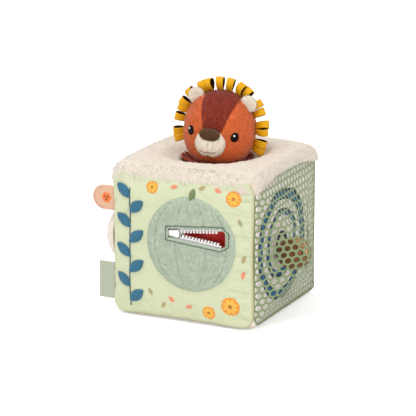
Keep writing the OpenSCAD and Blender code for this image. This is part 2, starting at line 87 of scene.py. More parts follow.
def add(made, kind, inputs=None, feeds=None, **settings):
    """Adds one node. inputs maps its sockets to values or feeding sockets, and feeds maps sockets of the
    Principled shader to its outputs."""
    tree = made.node_tree
    node = tree.nodes.new("ShaderNode" + kind)
    for name, value in settings.items():
        setattr(node, name, value)
    for socket, value in (inputs or {}).items():
        if isinstance(value, bpy.types.NodeSocket):
            tree.links.new(value, node.inputs[socket])
        else:
            node.inputs[socket].default_value = value
    for socket, output in (feeds or {}).items():
        tree.links.new(node.outputs[output], principled(made)[socket])
    return node


def on_object(made):
    """The place on the object that a material's patterns follow."""
    return add(made, "TexCoord").outputs["Object"]


def per_mm(size):
    """Scale of a noise or cell texture whose features are this many millimetres wide."""
    return 1 / (size * MM)


def mottle(made, pattern, low, high, strength=0.0, depth=0.0):
    """Colours a material from low to high by a pattern, and raises it by a depth in millimetres."""
    add(made, "MixRGB", {"Fac": pattern, "Color1": low, "Color2": high}, {"Base Color": "Color"})
    if strength:
        relief = {"Height": pattern, "Strength": strength, "Distance": depth * MM}
        add(made, "Bump", relief, {"Normal": "Normal"})
    return made


def polyurethane_foam(name, colour, pit="#d8cfb4"):
    # Open-cell foam looks matt and pitted, with cells about 1.2 mm wide
    made = shader(name, Roughness=0.95)
    cells = add(made, "TexVoronoi", {"Vector": on_object(made), "Scale": per_mm(1.2)}).outputs["Distance"]
    return mottle(made, cells, linear(colour), linear(pit), 0.5, 0.6)


def finish_node(node, made):
    """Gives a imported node, whose shape is right, its real finish."""
    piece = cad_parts[node]
    piece.data.materials.clear()
    piece.data.materials.append(made)
    piece.data.polygons.foreach_set("use_smooth", [True] * len(piece.data.polygons))
    piece.data.set_sharp_from_angle(angle=sharp_over)
    return piece


finish_node("foam_core", polyurethane_foam("cut upholstery foam", "#efe9d8"))

# Well lining
# A round pocket of cream cotton that lines the well. It is sewn to the fur round the opening and
# hangs to the floor of the well, with soft upright folds.


def box_mm(node):
    """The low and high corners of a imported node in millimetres."""
    return [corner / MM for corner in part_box(node)]


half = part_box("right_cloth")[1].x / MM
well_low, well_high = box_mm("well_lining")
well_inner, well_depth = well_high.x - 1.5, well_high.z - well_low.z
well_columns, well_rows, wall_share, floor_in, floor_thick = 96, 26, 0.72, 0.985, 1.2
folds, fold_deep = 11, 0.5


def make(name, points, faces, *materials):
    """A smooth mesh piece from points in millimetres."""
    mesh = bpy.data.meshes.new(name)
    mesh.from_pydata([[c * MM for c in p] for p in points], [], faces)
    mesh.polygons.foreach_set("use_smooth", [True] * len(mesh.polygons))
    for made in materials:
        mesh.materials.append(made)
    piece = bpy.data.objects.new(name, mesh)
    bpy.context.scene.collection.objects.link(piece)
    return piece


def evenly(count, low=0.0, high=1.0):
    """So many values at even steps from low to high."""
    return [low + (high - low) * i / (count - 1) for i in range(count)]


def grid_faces(columns, rows, closed=False):
    """Quads of a grid of points, row after row. closed joins the last column to the first."""
    spans = columns if closed else columns - 1
    return [(r * columns + c, r * columns + (c + 1) % columns,
             (r + 1) * columns + (c + 1) % columns, (r + 1) * columns + c)
            for r in range(rows - 1) for c in range(spans)]


def ring_grid(columns, rows, place):
    """Points and faces of rings of points, one for each value in rows. place takes that value and a turn."""
    points = [place(row, math.tau * column / columns) for row in rows for column in range(columns)]
    return points, grid_faces(columns, len(rows), True)


def around(reach, turn, z):
    """The point at a distance from the upright axis, a turn round it and a height."""
    return reach * math.cos(turn), reach * math.sin(turn), z


def modify(piece, kind, **settings):
    """Adds a modifier with these settings."""
    modifier = piece.modifiers.new(kind.lower(), kind)
    for name, value in settings.items():
        setattr(modifier, name, value)
    return piece


def thicken(piece, thick, offset=-1, **settings):
    """Gives a sheet its thickness in millimetres."""
    return modify(piece, "SOLIDIFY", thickness=thick * MM, offset=offset, **settings)


def bands_per_mm(size):
    """Scale of a wave texture whose bands are this many millimetres apart."""
    return math.tau / 20 * per_mm(size)


def woven_cotton(name, colour, across, shade="#b9a98f", stain=0.12):
    # Plain-weave cotton is matt and shows a fine grid of threads with slight slubs. Its threads are
    # drawn three times as coarse as life, so that they show.
    made = shader(name, Roughness=0.88, Sheen_Weight=0.12, Sheen_Roughness=0.5)
    place = on_object(made)
    bands = {"Vector": place, "Scale": bands_per_mm(1.0), "Distortion": 0.6, "Detail Scale": 0.6}
    warp, weft = (add(made, "TexWave", bands, bands_direction=axis).outputs["Fac"] for axis in across)
    weave = add(made, "Math", {0: warp, 1: weft}, operation="MULTIPLY").outputs["Value"]
    slubs = add(made, "TexNoise", {"Vector": place, "Scale": per_mm(9), "Detail": 5.0}).outputs["Fac"]
    worn = add(made, "Math", {0: slubs, 1: stain}, operation="MULTIPLY").outputs["Value"]
    dyes = {"Fac": worn, "Color1": linear(colour), "Color2": linear(shade)}
    tint = add(made, "MixRGB", dyes).outputs["Color"]
    return mottle(made, weave, tint, linear(colour), 0.25, 0.25)


def well_place(down, turn):
    """A point of the lining, down the folded wall and then in over the floor."""
    wall, inward = min(down / wall_share, 1), max(0, (down - wall_share) / (1 - wall_share))
    fold = fold_deep * (1 + math.sin(folds * turn) * math.sin(math.pi * wall))
    reach = (well_inner + fold) * (1 - inward * floor_in)
    return around(reach, turn, well_high.z - (well_depth - floor_thick) * wall)


well_cotton = woven_cotton("cream cotton lining", "#e6dccb", "XZ")
well = make("well_lining_cloth", *ring_grid(well_columns, evenly(well_rows), well_place), well_cotton)
thicken(well, 0.8, offset=1)
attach(well, "cube")
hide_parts("well_lining")

# Cloth panels
# Cream cotton stretched over the base, the front and the right side of the foam. The panels meet
# in seams at the rounded edges. The right one carries the print that shows through the net.
edge_round, panel_count, cloth_thick, over_floor = 8, 56, 1.2, 0.1
face_flat = half - edge_round
panel_reach = face_flat + edge_round * math.pi / 4
panel_waves = ((0.35, 28, 0), (0.15, 11, 9))
pocket_low, pocket_high = box_mm("zip_pocket_lining")
pocket_box = [(pocket_low.x, pocket_low.z), (pocket_high.x, pocket_low.z),
              (pocket_high.x, pocket_high.z), (pocket_low.x, pocket_high.z)]
cut_from = -half - 40


def rolled(s):
    """Place along a face and drop behind it, at an arc length s from its middle. The edge rolls over."""
    over = max(0, abs(s) - face_flat) / edge_round
    along = min(abs(s), face_flat) + edge_round * math.sin(over)
    return math.copysign(along, s), edge_round * (1 - math.cos(over))


def lumps(point, size, seed=0):
    """Smooth noise from -1 to 1 with features about size millimetres wide."""
    return noise.noise(Vector(point) / size + Vector((seed * 7.3, seed * 3.1, seed * 5.7)))


def sheet_grid(columns, rows, place):
    """Points and faces of a sheet. place takes one value of columns and one of rows."""
    points = [place(column, row) for row in rows for column in columns]
    return points, grid_faces(len(columns), len(rows))


def panel_grid(place, seed, swell=0.0):
    """Points and faces of a face's panel. place turns (along, up, out of the face) into a point."""
    def on_panel(along, up):
        a, drop_a = rolled(along)
        b, drop_b = rolled(up)
        ease = (1 - (a / half) ** 4) * (1 - (b / half) ** 4)
        wave = sum(high * lumps((a, b, layer), wide, seed) for high, wide, layer in panel_waves)
        return place(a, b, half - drop_a - drop_b + ease * (swell + wave))

    steps = [panel_reach * share for share in evenly(panel_count, -1, 1)]
    return sheet_grid(steps, steps, on_panel)


def base_colour(made):
    """The socket that a material's colour comes from."""
    return principled(made)["Base Color"].links[0].from_socket


def ripple_print(name, cloth, dark, light):
    # Screen-printed rings like ripples on a pond, navy lines with blue bands between them. Each ring has
    # its radius and width in millimetres.
    rings = ((50, 6.5, light), (54.5, 3.2, dark), (45.8, 2.2, dark),
             (30, 5, light), (33.8, 2.8, dark), (11, 5, dark))
    middle = Vector((half, -4, half + 2)) * MM
    made = woven_cotton(name, cloth, "YZ")
    painted, place = base_colour(made), on_object(made)
    wobble = add(made, "TexNoise", {"Vector": place, "Scale": per_mm(34), "Detail": 1.0}).outputs["Color"]
    drift = add(made, "VectorMath", {0: wobble, "Scale": 10 * MM}, operation="SCALE").outputs["Vector"]
    moved = add(made, "VectorMath", {0: place, 1: drift}, operation="ADD").outputs["Vector"]
    centred = add(made, "VectorMath", {0: moved, 1: middle}, operation="SUBTRACT").outputs["Vector"]
    flat = add(made, "VectorMath", {0: centred, 1: (0, 1, 1)}, operation="MULTIPLY").outputs["Vector"]
    radius = add(made, "VectorMath", {0: flat}, operation="LENGTH").outputs["Value"]
    for ring, width, colour in rings:
        edges = {0: radius, 1: ring * MM, 2: width / 2 * MM}
        band = add(made, "Math", edges, operation="COMPARE").outputs["Value"]
        inks = {"Fac": band, "Color1": painted, "Color2": linear(colour)}
        painted = add(made, "MixRGB", inks).outputs["Color"]
    made.node_tree.links.new(painted, principled(made)["Base Color"])
    return made


def settle(piece):
    """Replaces the piece's mesh by what its modifiers make of it."""
    shown = piece.evaluated_get(bpy.context.evaluated_depsgraph_get())
    mesh = bpy.data.meshes.new_from_object(shown)
    piece.modifiers.clear()
    piece.data = mesh


def cut_away(piece, outline, far):
    """Cuts a straight-sided block out of the piece, from the front to far. outline is in X and Z."""
    count = len(outline)
    points = [(x, y, z) for y in (cut_from, far) for x, z in outline]
    sides = [(i, count + i, count + (i + 1) % count, (i + 1) % count) for i in range(count)]
    ends = [tuple(range(count)), tuple(reversed(range(count, 2 * count)))]
    cutter = make("cutter", points, sides + ends)
    modify(piece, "BOOLEAN", object=cutter, operation="DIFFERENCE", solver="EXACT")
    settle(piece)
    bpy.data.objects.remove(cutter)


cloth_panels = {
    "base_cloth": (lambda a, b, out: (-a, b, max(over_floor, half - out)), 10,
                   woven_cotton("cream cotton base", "#e5dccd", "XY")),
    "front_cloth": (lambda a, b, out: (a, -out, half + b), 11,
                    woven_cotton("cream cotton front", "#e8dfd0", "XZ")),
    "right_cloth": (lambda a, b, out: (out, a, half + b), 11,
                    ripple_print("printed cream cotton", "#fff6ee", "#0b2a44", "#2f6d9a")),
}
for node, (place, seed, cotton) in cloth_panels.items():
    panel = make(node + "_sheet", *panel_grid(place, seed), cotton)
    settle(thicken(panel, cloth_thick))
    if node == "front_cloth":
        cut_away(panel, pocket_box, -half + 20)
    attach(panel, "cube")
    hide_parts(node)

# Plush sides
# The left side and the back are cream short-pile plush, sewn like the cloth panels and a little
# swollen by the filling behind them. The pile is knitted in and lies downwards.
front_bulge, forward_bulge, bulge_from, bulge_at, bulge_clear = 11.5, 5.0, 5, 63, 3
bulge_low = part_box("seam_label")[1].z / MM - half + bulge_clear
bulge_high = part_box("seam_tab")[0].z / MM - half - bulge_clear


def unit(rows):
    """Rows of vectors, each brought to length 1."""
    return rows / np.maximum(np.linalg.norm(rows, axis=1), 1e-9)[:, None]


def scatter(mesh, count, outward, draw):
    """Random places on a mesh, even by area, and the ways its faces look there."""
    mesh.calc_loop_triangles()
    corners = np.array([t.vertices for t in mesh.loop_triangles])
    points = np.array([v.co for v in mesh.vertices])
    a, b, c = (points[corners[:, i]] for i in range(3))
    across = np.cross(b - a, c - a)
    area = np.linalg.norm(across, axis=1)
    normal = across / np.maximum(area, 1e-15)[:, None]
    chance = area if outward is None else area * outward((a + b + c) / 3, normal)
    picked = draw.choice(len(corners), count, p=chance / chance.sum())
    u, v = draw.random((2, count))
    flip = u + v > 1
    u[flip], v[flip] = 1 - u[flip], 1 - v[flip]
    root = a[picked] + u[:, None] * (b - a)[picked] + v[:, None] * (c - a)[picked]
    return root, normal[picked]


def grow_pile(piece, count, length, width, lean, seed, spread=0.45, outward=None, floor=None):
    """Adds tapering tufts of pile to a piece, shaded softly like the ground under them. lean is the way the
    pile lies, or a function of the roots and the ways they look. No tuft goes under the floor."""
    mesh, draw = piece.data, np.random.default_rng(seed)
    ground_points = len(mesh.vertices)
    root, up = scatter(mesh, count, outward, draw)
    lie = lean(root, up) if callable(lean) else np.tile(np.array(lean, float), (count, 1))
    stray = draw.normal(0, spread, (count, 3))
    way = unit(up + lie + stray)
    rise = unit(up + 0.35 * lie + 0.5 * stray)
    reach = length * MM * draw.uniform(0.65, 1.15, count)[:, None]
    thick = width * MM * draw.uniform(0.7, 1.2, count)[:, None]
    side = unit(np.cross(up, way) + 0.15 * draw.normal(0, 1, (count, 3)))
    other = np.cross(rise, side)
    sunk, middle = root - up * reach * 0.1, root + rise * reach * 0.5
    tip = middle + way * reach * 0.5
    corners = [centre + thick * share * (math.cos(turn) * side + 0.3 * math.sin(turn) * other)
               for centre, share in ((sunk, 0.5), (middle, 0.42))
               for turn in (0, math.tau / 3, 2 * math.tau / 3)]
    tufts = np.stack(corners + [tip], axis=1)
    if floor is not None:
        tufts[:, :, 2] = np.maximum(tufts[:, :, 2], floor * MM)
    tuft_points = tufts.shape[1]
    first = np.arange(count)[:, None] * tuft_points
    tuft_faces = ((0, 1, 4, 3), (1, 2, 5, 4), (2, 0, 3, 5), (3, 4, 6), (4, 5, 6), (5, 3, 6), (2, 1, 0))
    faces = [face for shape in tuft_faces for face in (first + np.array(shape)).tolist()]
    soft = unit(up + 0.2 * stray)
    shading = np.concatenate([np.zeros((ground_points, 3)), np.repeat(soft, tuft_points, axis=0)])
    pile = bpy.data.meshes.new("pile")
    pile.from_pydata(tufts.reshape(-1, 3).tolist(), [], faces)
    pile.polygons.foreach_set("material_index", [1] * len(faces))
    pile.polygons.foreach_set("use_smooth", [True] * len(faces))
    both = bmesh.new()
    both.from_mesh(mesh)
    both.from_mesh(pile)
    both.to_mesh(mesh)
    both.free()
    bpy.data.meshes.remove(pile)
    mesh.normals_split_custom_set_from_vertices(shading.tolist())


def knitted_back(name, colour, shade, cell=2.0, depth=0.5, lie=(1, 1, 1)):
    # The knitted ground under a pile is matt and soft. Its random clumps are darker, as painted shade where
    # the tufts stand close. A share of lie under 1 draws the clumps out along that axis.
    made = shader(name, Roughness=0.95, Sheen_Weight=0.3, Sheen_Roughness=0.4)
    drawn = add(made, "VectorMath", {0: on_object(made), 1: lie}, operation="MULTIPLY").outputs["Vector"]
    shaded_clumps = add(made, "TexNoise", {"Vector": drawn, "Scale": per_mm(cell), "Detail": 4.0}).outputs["Fac"]
    return mottle(made, shaded_clumps, linear(shade), linear(colour), 0.6, depth)


def pile_fibre(name, colour, shade, clump=14.0, sheen=0.35):
    # Polyester pile is matt with a soft sheen. Each tuft takes its own tint, and broad clumps are painted
    # darker, as painted shade where the pile is brushed the other way.
    made = shader(name, Roughness=1.0, Specular_IOR_Level=0.1, Sheen_Weight=sheen, Sheen_Roughness=0.5)
    broad = {"Vector": on_object(made), "Scale": per_mm(clump), "Detail": 3.0}
    # Painted shade: broad clumps of pile brushed the other way are coloured darker
    brushed_shade = add(made, "TexNoise", broad).outputs["Fac"]
    tuft = add(made, "NewGeometry").outputs["Random Per Island"]
    both = add(made, "Math", {0: brushed_shade, 1: tuft}, operation="MULTIPLY").outputs["Value"]
    return mottle(made, both, linear(colour), linear(shade))


def bulge_between(b):
    """Share of the swelling at a height, which lies between the label and the tab."""
    middle, reach = (bulge_low + bulge_high) / 2, (bulge_high - bulge_low) / 2
    return max(0, 1 - ((b - middle) / reach) ** 2) ** 0.8


def beside_pad(a, b):
    """Share of the left plush's swelling, which is most beside the pad's seam, halfway up."""
    along = min(1, max(0, (a - bulge_from) / (bulge_at - bulge_from)))
    turned_in = max(0, (a - bulge_at) / (half - bulge_at))
    return bulge_between(b) * along * along * (3 - 2 * along) * (1 - turned_in ** 2)


def on_left(a, b, out):
    """The point of the left side at a place across it."""
    forward = forward_bulge * bulge_between(b) * max(0, a / half) ** 8
    return -out - front_bulge * beside_pad(a, b), -a - forward, half + b


def facing(way, least):
    """A test that gives 1 for the faces that look along a way and 0 for the rest."""
    return lambda centre, normal: (normal @ np.array(way) > least).astype(float)


cream_ground = knitted_back("cream plush ground", "#f4eadd", "#e3d5c3", 2.6, 1.2)
cream_pile = pile_fibre("cream plush pile", "#fdf5ea", "#f0e4d4")
plush_panels = {
    "left_plush": (on_left, (-1, 0, 0), 4.5),
    "back_plush": (lambda a, b, out: (-a, out, half + b), (0, 1, 0), 2.5),
}
for node, (place, outward, swell) in plush_panels.items():
    panel = make(node + "_panel", *panel_grid(place, 10, swell), cream_ground, cream_pile)
    settle(thicken(panel, 2))
    grow_pile(panel, 5000, 3.0, 0.5, (0, 0, -1.6), 30, outward=facing(outward, 0.35), floor=0.4)
    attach(panel, "cube")
    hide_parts(node)

# Fur top
# Cream faux fur sewn round the top edges. The filling swells it, and it dips into the well, where
# it is sewn to the lining. The pile is brushed outwards from the well.
top_crown, crown_lean, far_swell, far_x, far_y, far_spread = 4.0, 0.7, 2.6, 54, 44, 600
roll_wide, roll_deep, corner_droop, left_droop, droop_slope = 10.0, 5.0, 5.0, 3.4, 1.8
fur_outline, fur_corner, net_side_in, loose_wide = half + 3.2, 13, 0.028, 7
rim_dip, dip_wide, collar_in, collar_down, hem_in, hem_down = 6.5, 21, 0.985, 5, 0.995, 2.5
fur_columns, fur_rings = 320, 60
fur_lumps = ((1.6, 24, 0, 1), (0.9, 9, 5, 2), (0.5, 4, 3, 3))


def square_reach(turn, outline, corner):
    """Distance from the middle to the edge of a square with round corners."""
    x, y = abs(math.cos(turn)), abs(math.sin(turn))
    plain = outline / max(x, y)
    inner = outline - corner
    if min(x, y) * plain <= inner:
        return plain
    along = inner * (x + y)
    return along + math.sqrt(max(0, along * along - 2 * inner * inner + corner * corner))


def front_droop(x):
    """How far the fur hangs down over the front, most at the left."""
    return left_droop - droop_slope * x / half


def fur_height(x, y, from_well, from_edge):
    """Height of the fur over the cube's top edges."""
    swell = top_crown * (1 - (x * x + y * y) / (2 * half * half)) * (1 + crown_lean * x / half)
    swell += far_swell * math.exp(-((x - far_x) ** 2 + (y - far_y) ** 2) / far_spread)
    near = max(0, 1 - from_well / dip_wide)
    dip = rim_dip * near * near * (3 - 2 * near)
    past = max(0, 1 - from_edge / roll_wide)
    corner = (2 * x * y / (x * x + y * y)) ** 6
    front = front_droop(x) * max(0, -y / half) ** 6
    roll = (roll_deep + corner_droop * corner + front) * (1 - math.sqrt(max(0, 1 - past * past)))
    return swell - dip - roll


def fur_place(share, turn):
    """A point of the fur at a share of the way from the well to the outer edge."""
    edge = square_reach(turn, fur_outline, fur_corner)
    reach = well_inner + (edge - well_inner) * math.sin(share * math.pi / 2) ** 0.9
    x, y = reach * math.cos(turn), reach * math.sin(turn)
    from_edge = (edge - reach) * max(abs(math.cos(turn)), abs(math.sin(turn)))
    z = 2 * half + fur_height(x, y, reach - well_inner, from_edge)
    ease = min(1, from_edge / 12 + 0.2)
    z += ease * sum(high * lumps((x, y, layer), wide, seed) for high, wide, layer, seed in fur_lumps)
    return x * (1 - net_side_in * share ** 2 * max(0, math.cos(turn))), y, z


def brushed_out(root, up):
    """The pile lies along the ground, away from the well and down over the edges."""
    way = unit(root * np.array((1.0, 1.0, 0.0))) + np.array((0.0, 0.0, -0.7))
    return 1.6 * unit(way - (way * up).sum(axis=1)[:, None] * up)


def on_show(centre, normal):
    """Loose tips show on the rolled edges. The rest of the pile lies close, as the ground's lumps."""
    out = unit(centre * np.array((1.0, 1.0, 0.0)))
    near_edge = np.abs(centre[:, :2]).max(axis=1) > (fur_outline - loose_wide) * MM
    return ((normal[:, 2] + 0.8 * (normal * out).sum(axis=1) > 0.3) & near_edge).astype(float)


points, _ = ring_grid(fur_columns, evenly(fur_rings), fur_place)
collar = [(x * collar_in, y * collar_in, z - collar_down) for x, y, z in points[:fur_columns]]
hem = [(x * hem_in, y * hem_in, z - hem_down) for x, y, z in points[-fur_columns:]]
fur_faces = grid_faces(fur_columns, fur_rings + 2, True)
fur_ground = knitted_back("cream faux fur ground", "#e6dccf", "#c9bba8", 2.0, 1.6, (1, 1, 0.22))
fur_pile = pile_fibre("cream faux fur pile", "#f8efe2", "#f1e5d5", 18.0)
fur = make("fur_top_panel", collar + points + hem, fur_faces, fur_ground, fur_pile)
settle(thicken(fur, 2.5))
grow_pile(fur, 4500, 3.0, 0.42, brushed_out, 5, 0.35, outward=on_show)
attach(fur, "cube")
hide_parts("fur_top")

# Front pad
# A pillow of light green cotton poplin with fibre filling, sewn on all round in front of the cream
# cloth. A cloth simulation blows up its front against the held seam, and the zip's slot is cut last.
pad_low, pad_high = box_mm("front_pad")
pad_reach, pad_corner, pad_count, bottom_lift = pad_high.x + 2.4, 12, 96, 2.8
pad_seam, pad_back, pad_front, back_in = -half - 2.2, -half - 0.3, pad_low.y, 0.985
pad_plain, pad_crown, pad_roll, pucker_high, pucker_wide = 4.9, 2.1, 7, 0.7, 8
zip_z, bay_floor, through_pad = half + 16, -half - 3.9, -half + 5


def on_square(u, v):
    """Place on the pad's outline for grid shares u and v from -1 to 1, and the distance in from the seam."""
    turn, share = math.atan2(v, u), max(abs(u), abs(v))
    edge = square_reach(turn, pad_reach, pad_corner) - math.cos(2 * turn) ** 2
    x, z = share * edge * math.cos(turn), share * edge * math.sin(turn)
    z -= front_droop(x) * max(0, z / pad_reach) ** 2 - bottom_lift * max(0, -z / pad_reach) ** 2
    return x, z, (1 - share) * pad_reach


def pad_place(u, v):
    """A point of the pad's front before it is blown up, with puckers at the seam."""
    x, z, inward = on_square(u, v)
    roll = math.sqrt(1 - max(0, 1 - inward / pad_roll) ** 2)
    crown = 1 - (x * x + z * z) / (2 * pad_reach ** 2)
    pucker = pucker_high * math.exp(-inward / pucker_wide) * lumps((x, z, 0), 7, 3)
    return x, pad_seam - roll * (pad_plain + pad_crown * crown + pucker), half + z


def valley(point, size, seed):
    """Depth of sharp creases between lumps of this size."""
    return -max(0, 1 - 6 * abs(lumps(point, size, seed))) ** 1.5


def pad_crease(x, z):
    """Height of the creases that run in from the sides, closest at the right."""
    right, left, top = (min(1, max(0, (d - pad_reach + wide) / wide))
                        for d, wide in ((x, 52), (-x, 18), (z, 16)))
    return (2.6 * right * right * valley((0.12 * x, z, 4), 13, 2)
            + 1.2 * right * valley((0.3 * x, z + 0.35 * x, 8), 26, 4)
            + 1.3 * left * valley((0.15 * x, z, 2), 14, 5)
            + 1.3 * top * valley((x, 0.15 * z, 6), 13, 7))


def blow_up(piece, held, pressure, slack, frames=20):
    """Fills a closed cloth piece in a cloth simulation. Its held points stay where they are."""
    piece.vertex_groups.new(name="seam").add(held, 1.0, "REPLACE")
    modify(piece, "CLOTH")
    cloth = piece.modifiers["cloth"]
    cloth.settings.vertex_group_mass = "seam"
    cloth.settings.use_pressure = True
    cloth.settings.uniform_pressure_force = pressure
    cloth.settings.shrink_min = slack
    cloth.settings.effector_weights.gravity = 0
    cloth.settings.bending_stiffness = 0.2
    cloth.collision_settings.use_collision = False
    cloth.point_cache.frame_end = frames
    for frame_number in range(1, frames + 1):
        bpy.context.scene.frame_set(frame_number)
    settle(piece)
    bpy.context.scene.frame_set(1)


def poplin(name, colour, shade):
    # Cotton poplin is smooth and nearly matt. Its fine cross ribs are drawn twice as coarse as life.
    made = shader(name, Roughness=0.72, Sheen_Weight=0.2, Sheen_Roughness=0.4)
    place = on_object(made)
    bands = {"Vector": place, "Scale": bands_per_mm(0.8), "Distortion": 0.4}
    ribs = add(made, "TexWave", bands, bands_direction="Z").outputs["Fac"]
    add(made, "Bump", {"Height": ribs, "Strength": 0.15, "Distance": 0.15 * MM}, {"Normal": "Normal"})
    soft = add(made, "TexNoise", {"Vector": place, "Scale": per_mm(40), "Detail": 3.0}).outputs["Fac"]
    faded = add(made, "Math", {0: soft, 1: 0.35}, operation="MULTIPLY").outputs["Value"]
    return mottle(made, faded, linear(colour), linear(shade))


points, pad_faces = sheet_grid(evenly(pad_count, -1, 1), evenly(pad_count, -1, 1), pad_place)
last = pad_count - 1
rim = (list(range(last)) + [r * pad_count + last for r in range(last)]
       + [last * pad_count + c for c in range(last, 0, -1)] + [r * pad_count for r in range(last, 0, -1)])
back = list(range(len(points), len(points) + len(rim)))
points += [(points[i][0] * back_in, pad_back, half + (points[i][2] - half) * back_in) for i in rim]
walls = list(zip(rim, back, back[1:] + back[:1], rim[1:] + rim[:1]))
pad_poplin = poplin("light green cotton poplin", "#c9ceac", "#bfc59e")
pad = make("front_pad_cushion", points, pad_faces + walls + [tuple(reversed(back))], pad_poplin)
blow_up(pad, rim + back, 3.5, -0.02)
depth = min(v.co.y for v in pad.data.vertices) / MM
for vertex in pad.data.vertices:
    out = pad_seam - vertex.co.y / MM
    if out > 0:
        vertex.co.y = (pad_seam - out * (pad_seam - pad_front) / (pad_seam - depth)) * MM
for vertex in pad.data.vertices:
    out = pad_seam - vertex.co.y / MM
    if out > 0:
        vertex.co.y -= min(1, out / 3) * pad_crease(vertex.co.x / MM, vertex.co.z / MM - half) * MM
pad_skin = BVHTree.FromPolygons([v.co / MM for v in pad.data.vertices],
                                [p.vertices for p in pad.data.polygons])


def on_pad(x, z, out=0.0):
    """The point of the pad's front at a place across it, lifted off by out."""
    hit = pad_skin.ray_cast(Vector((x, -half - 60, z)), Vector((0, 1, 0)))[0]
    return x, hit.y - out, z


def zip_outline(left, wide_at, right, narrow, wide):
    """An outline round the zip in X and Z, which is widest near its right end."""
    lower = [(left, -narrow), (wide_at, -wide), (right, -narrow)]
    return [(x, zip_z + z) for x, z in lower] + [(x, zip_z - z) for x, z in reversed(lower)]


cut_away(pad, zip_outline(-13, 44.7, 53, 11.6, 16.4), bay_floor)
cut_away(pad, pocket_box, through_pad)
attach(pad, "cube")
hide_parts("front_pad")


def tube(path, radius, sides=6, closed=False):
    """Points and faces of a round cord along a path, with flat or joined ends."""
    path = [Vector(p) for p in path]
    points = []
    for i, point in enumerate(path):
        before = path[i - 1] if closed or i else path[i]
        after = path[(i + 1) % len(path)] if closed or i < len(path) - 1 else path[i]
        along = (after - before).normalized()
        across = along.cross(Vector((0, 1, 0)) if abs(along.y) < 0.9 else Vector((1, 0, 0))).normalized()
        other = along.cross(across)
        for side in range(sides):
            turn = math.tau * side / sides
            points.append(tuple(point + radius * (math.cos(turn) * across + math.sin(turn) * other)))
    faces = grid_faces(sides, len(path), True)
    last_ring = list(range(len(points) - sides, len(points)))
    if closed:
        first_ring = list(range(sides))
        return points, faces + list(zip(last_ring, last_ring[1:] + last_ring[:1],
                                        first_ring[1:] + first_ring[:1], first_ring))
    return points, faces + [tuple(reversed(range(sides))), tuple(last_ring)]


def join_parts(parts):
    """One list of points and one of faces from several pairs."""
    points, faces = [], []
    for some_points, some_faces in parts:
        faces += [tuple(i + len(points) for i in face) for face in some_faces]
        points += some_points
    return points, faces


def darker(colour, share):
    """A share of a hex colour's light, as linear RGBA."""
    return [c * share for c in linear(colour)[:3]] + [1.0]


def thread(name, colour):
    # Twisted polyester sewing thread has a slight gloss
    made = shader(name, Roughness=0.5, Sheen_Weight=0.2)
    strands = {"Vector": on_object(made), "Scale": per_mm(1.5), "Detail": 2.0}
    twist = add(made, "TexNoise", strands).outputs["Fac"]
    return mottle(made, twist, darker(colour, 0.7), linear(colour))


edge_steps, edge_out, edge_behind, edge_r, edge_runs = 140, 1.004, 0.9, 0.6, [[]]
flaps = [(low.z / MM - 1, high.z / MM + 1) for low, high in map(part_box, ("seam_tab", "seam_label"))]
for step in range(edge_steps + 1):
    turn = math.tau * step / edge_steps
    wide = max(abs(math.cos(turn)), abs(math.sin(turn)))
    x, z, _ = on_square(edge_out * math.cos(turn) / wide, edge_out * math.sin(turn) / wide)
    if x > 0 or not any(low < half + z < high for low, high in flaps):
        edge_runs[-1].append((x, pad_seam + edge_behind, half + z))
    elif edge_runs[-1]:
        edge_runs.append([])
edge_thread = thread("ochre overlock thread", "#d8c894")
pad_edging = make("front_pad_edging", *join_parts([tube(run, edge_r) for run in edge_runs]), edge_thread)
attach(pad_edging, "cube")

# Melon on the pad
# A round of sage short plush sewn flat on the pad, with four stitched ribs and a felt stalk. The cut
# for the zip has a row of dark green topstitching round it.
melon_x, melon_z, melon_r, melon_thick, melon_high = 12, half + 7, 47, 1.8, 2.1
rib_angles, rib_wide, rib_deep = (-0.95, -0.35, 0.35, 0.95), 1.7, 1.1
melon_columns, melon_rings = 128, 34


def rib_groove(x, z):
    """Depth of the stitched ribs, which run like meridians from top to bottom."""
    rise = z / melon_r
    wide = math.sqrt(max(0.02, 1 - rise * rise))
    slip = max(-1, min(1, x / melon_r / wide))
    from_rib = min(abs(math.asin(slip) - angle) for angle in rib_angles) * melon_r * wide
    return math.exp(-(from_rib / rib_wide) ** 2) * min(1, 3 * (1 - abs(rise)))


def on_melon(x, z, out=0.0):
    """The point of the melon's plush at a place across the pad, lifted off by out."""
    from_x, from_z = x - melon_x, z - melon_z
    share = min(1, math.hypot(from_x, from_z) / melon_r)
    plush = melon_high * math.sqrt(1 - share ** 12) - rib_deep * rib_groove(from_x, from_z)
    return on_pad(x, z, out + plush + 0.25 * lumps((from_x, from_z, 0), 12, 6))


def melon_place(share, turn):
    """A point of the melon's plush at a share of the way from its middle to its edge."""
    return on_melon(melon_x + share * melon_r * math.cos(turn), melon_z + share * melon_r * math.sin(turn))


def turned(faces):
    """The faces with their other side out."""
    return [tuple(reversed(face)) for face in faces]


points, melon_faces = ring_grid(melon_columns, evenly(melon_rings, 0.02, 1), melon_place)
melon_faces = turned(melon_faces) + [tuple(range(melon_columns))]
sage_ground = knitted_back("sage plush ground", "#cad5c1", "#9fae98", 2.0, 0.6)
sage_pile = pile_fibre("sage plush pile", "#c9d4c1", "#b5c3af", 9.0, 0.2)
melon = make("melon_plush_round", points, melon_faces, sage_ground, sage_pile)
settle(thicken(melon, melon_thick))
cut_away(melon, zip_outline(-12, 44.7, 52, 4.65, 9.7), through_pad)
grow_pile(melon, 13000, 0.9, 0.6, (0, 0, -0.7), 31, outward=facing((0, -1, 0), 0.4))
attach(melon, "cube")
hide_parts("melon_plush")


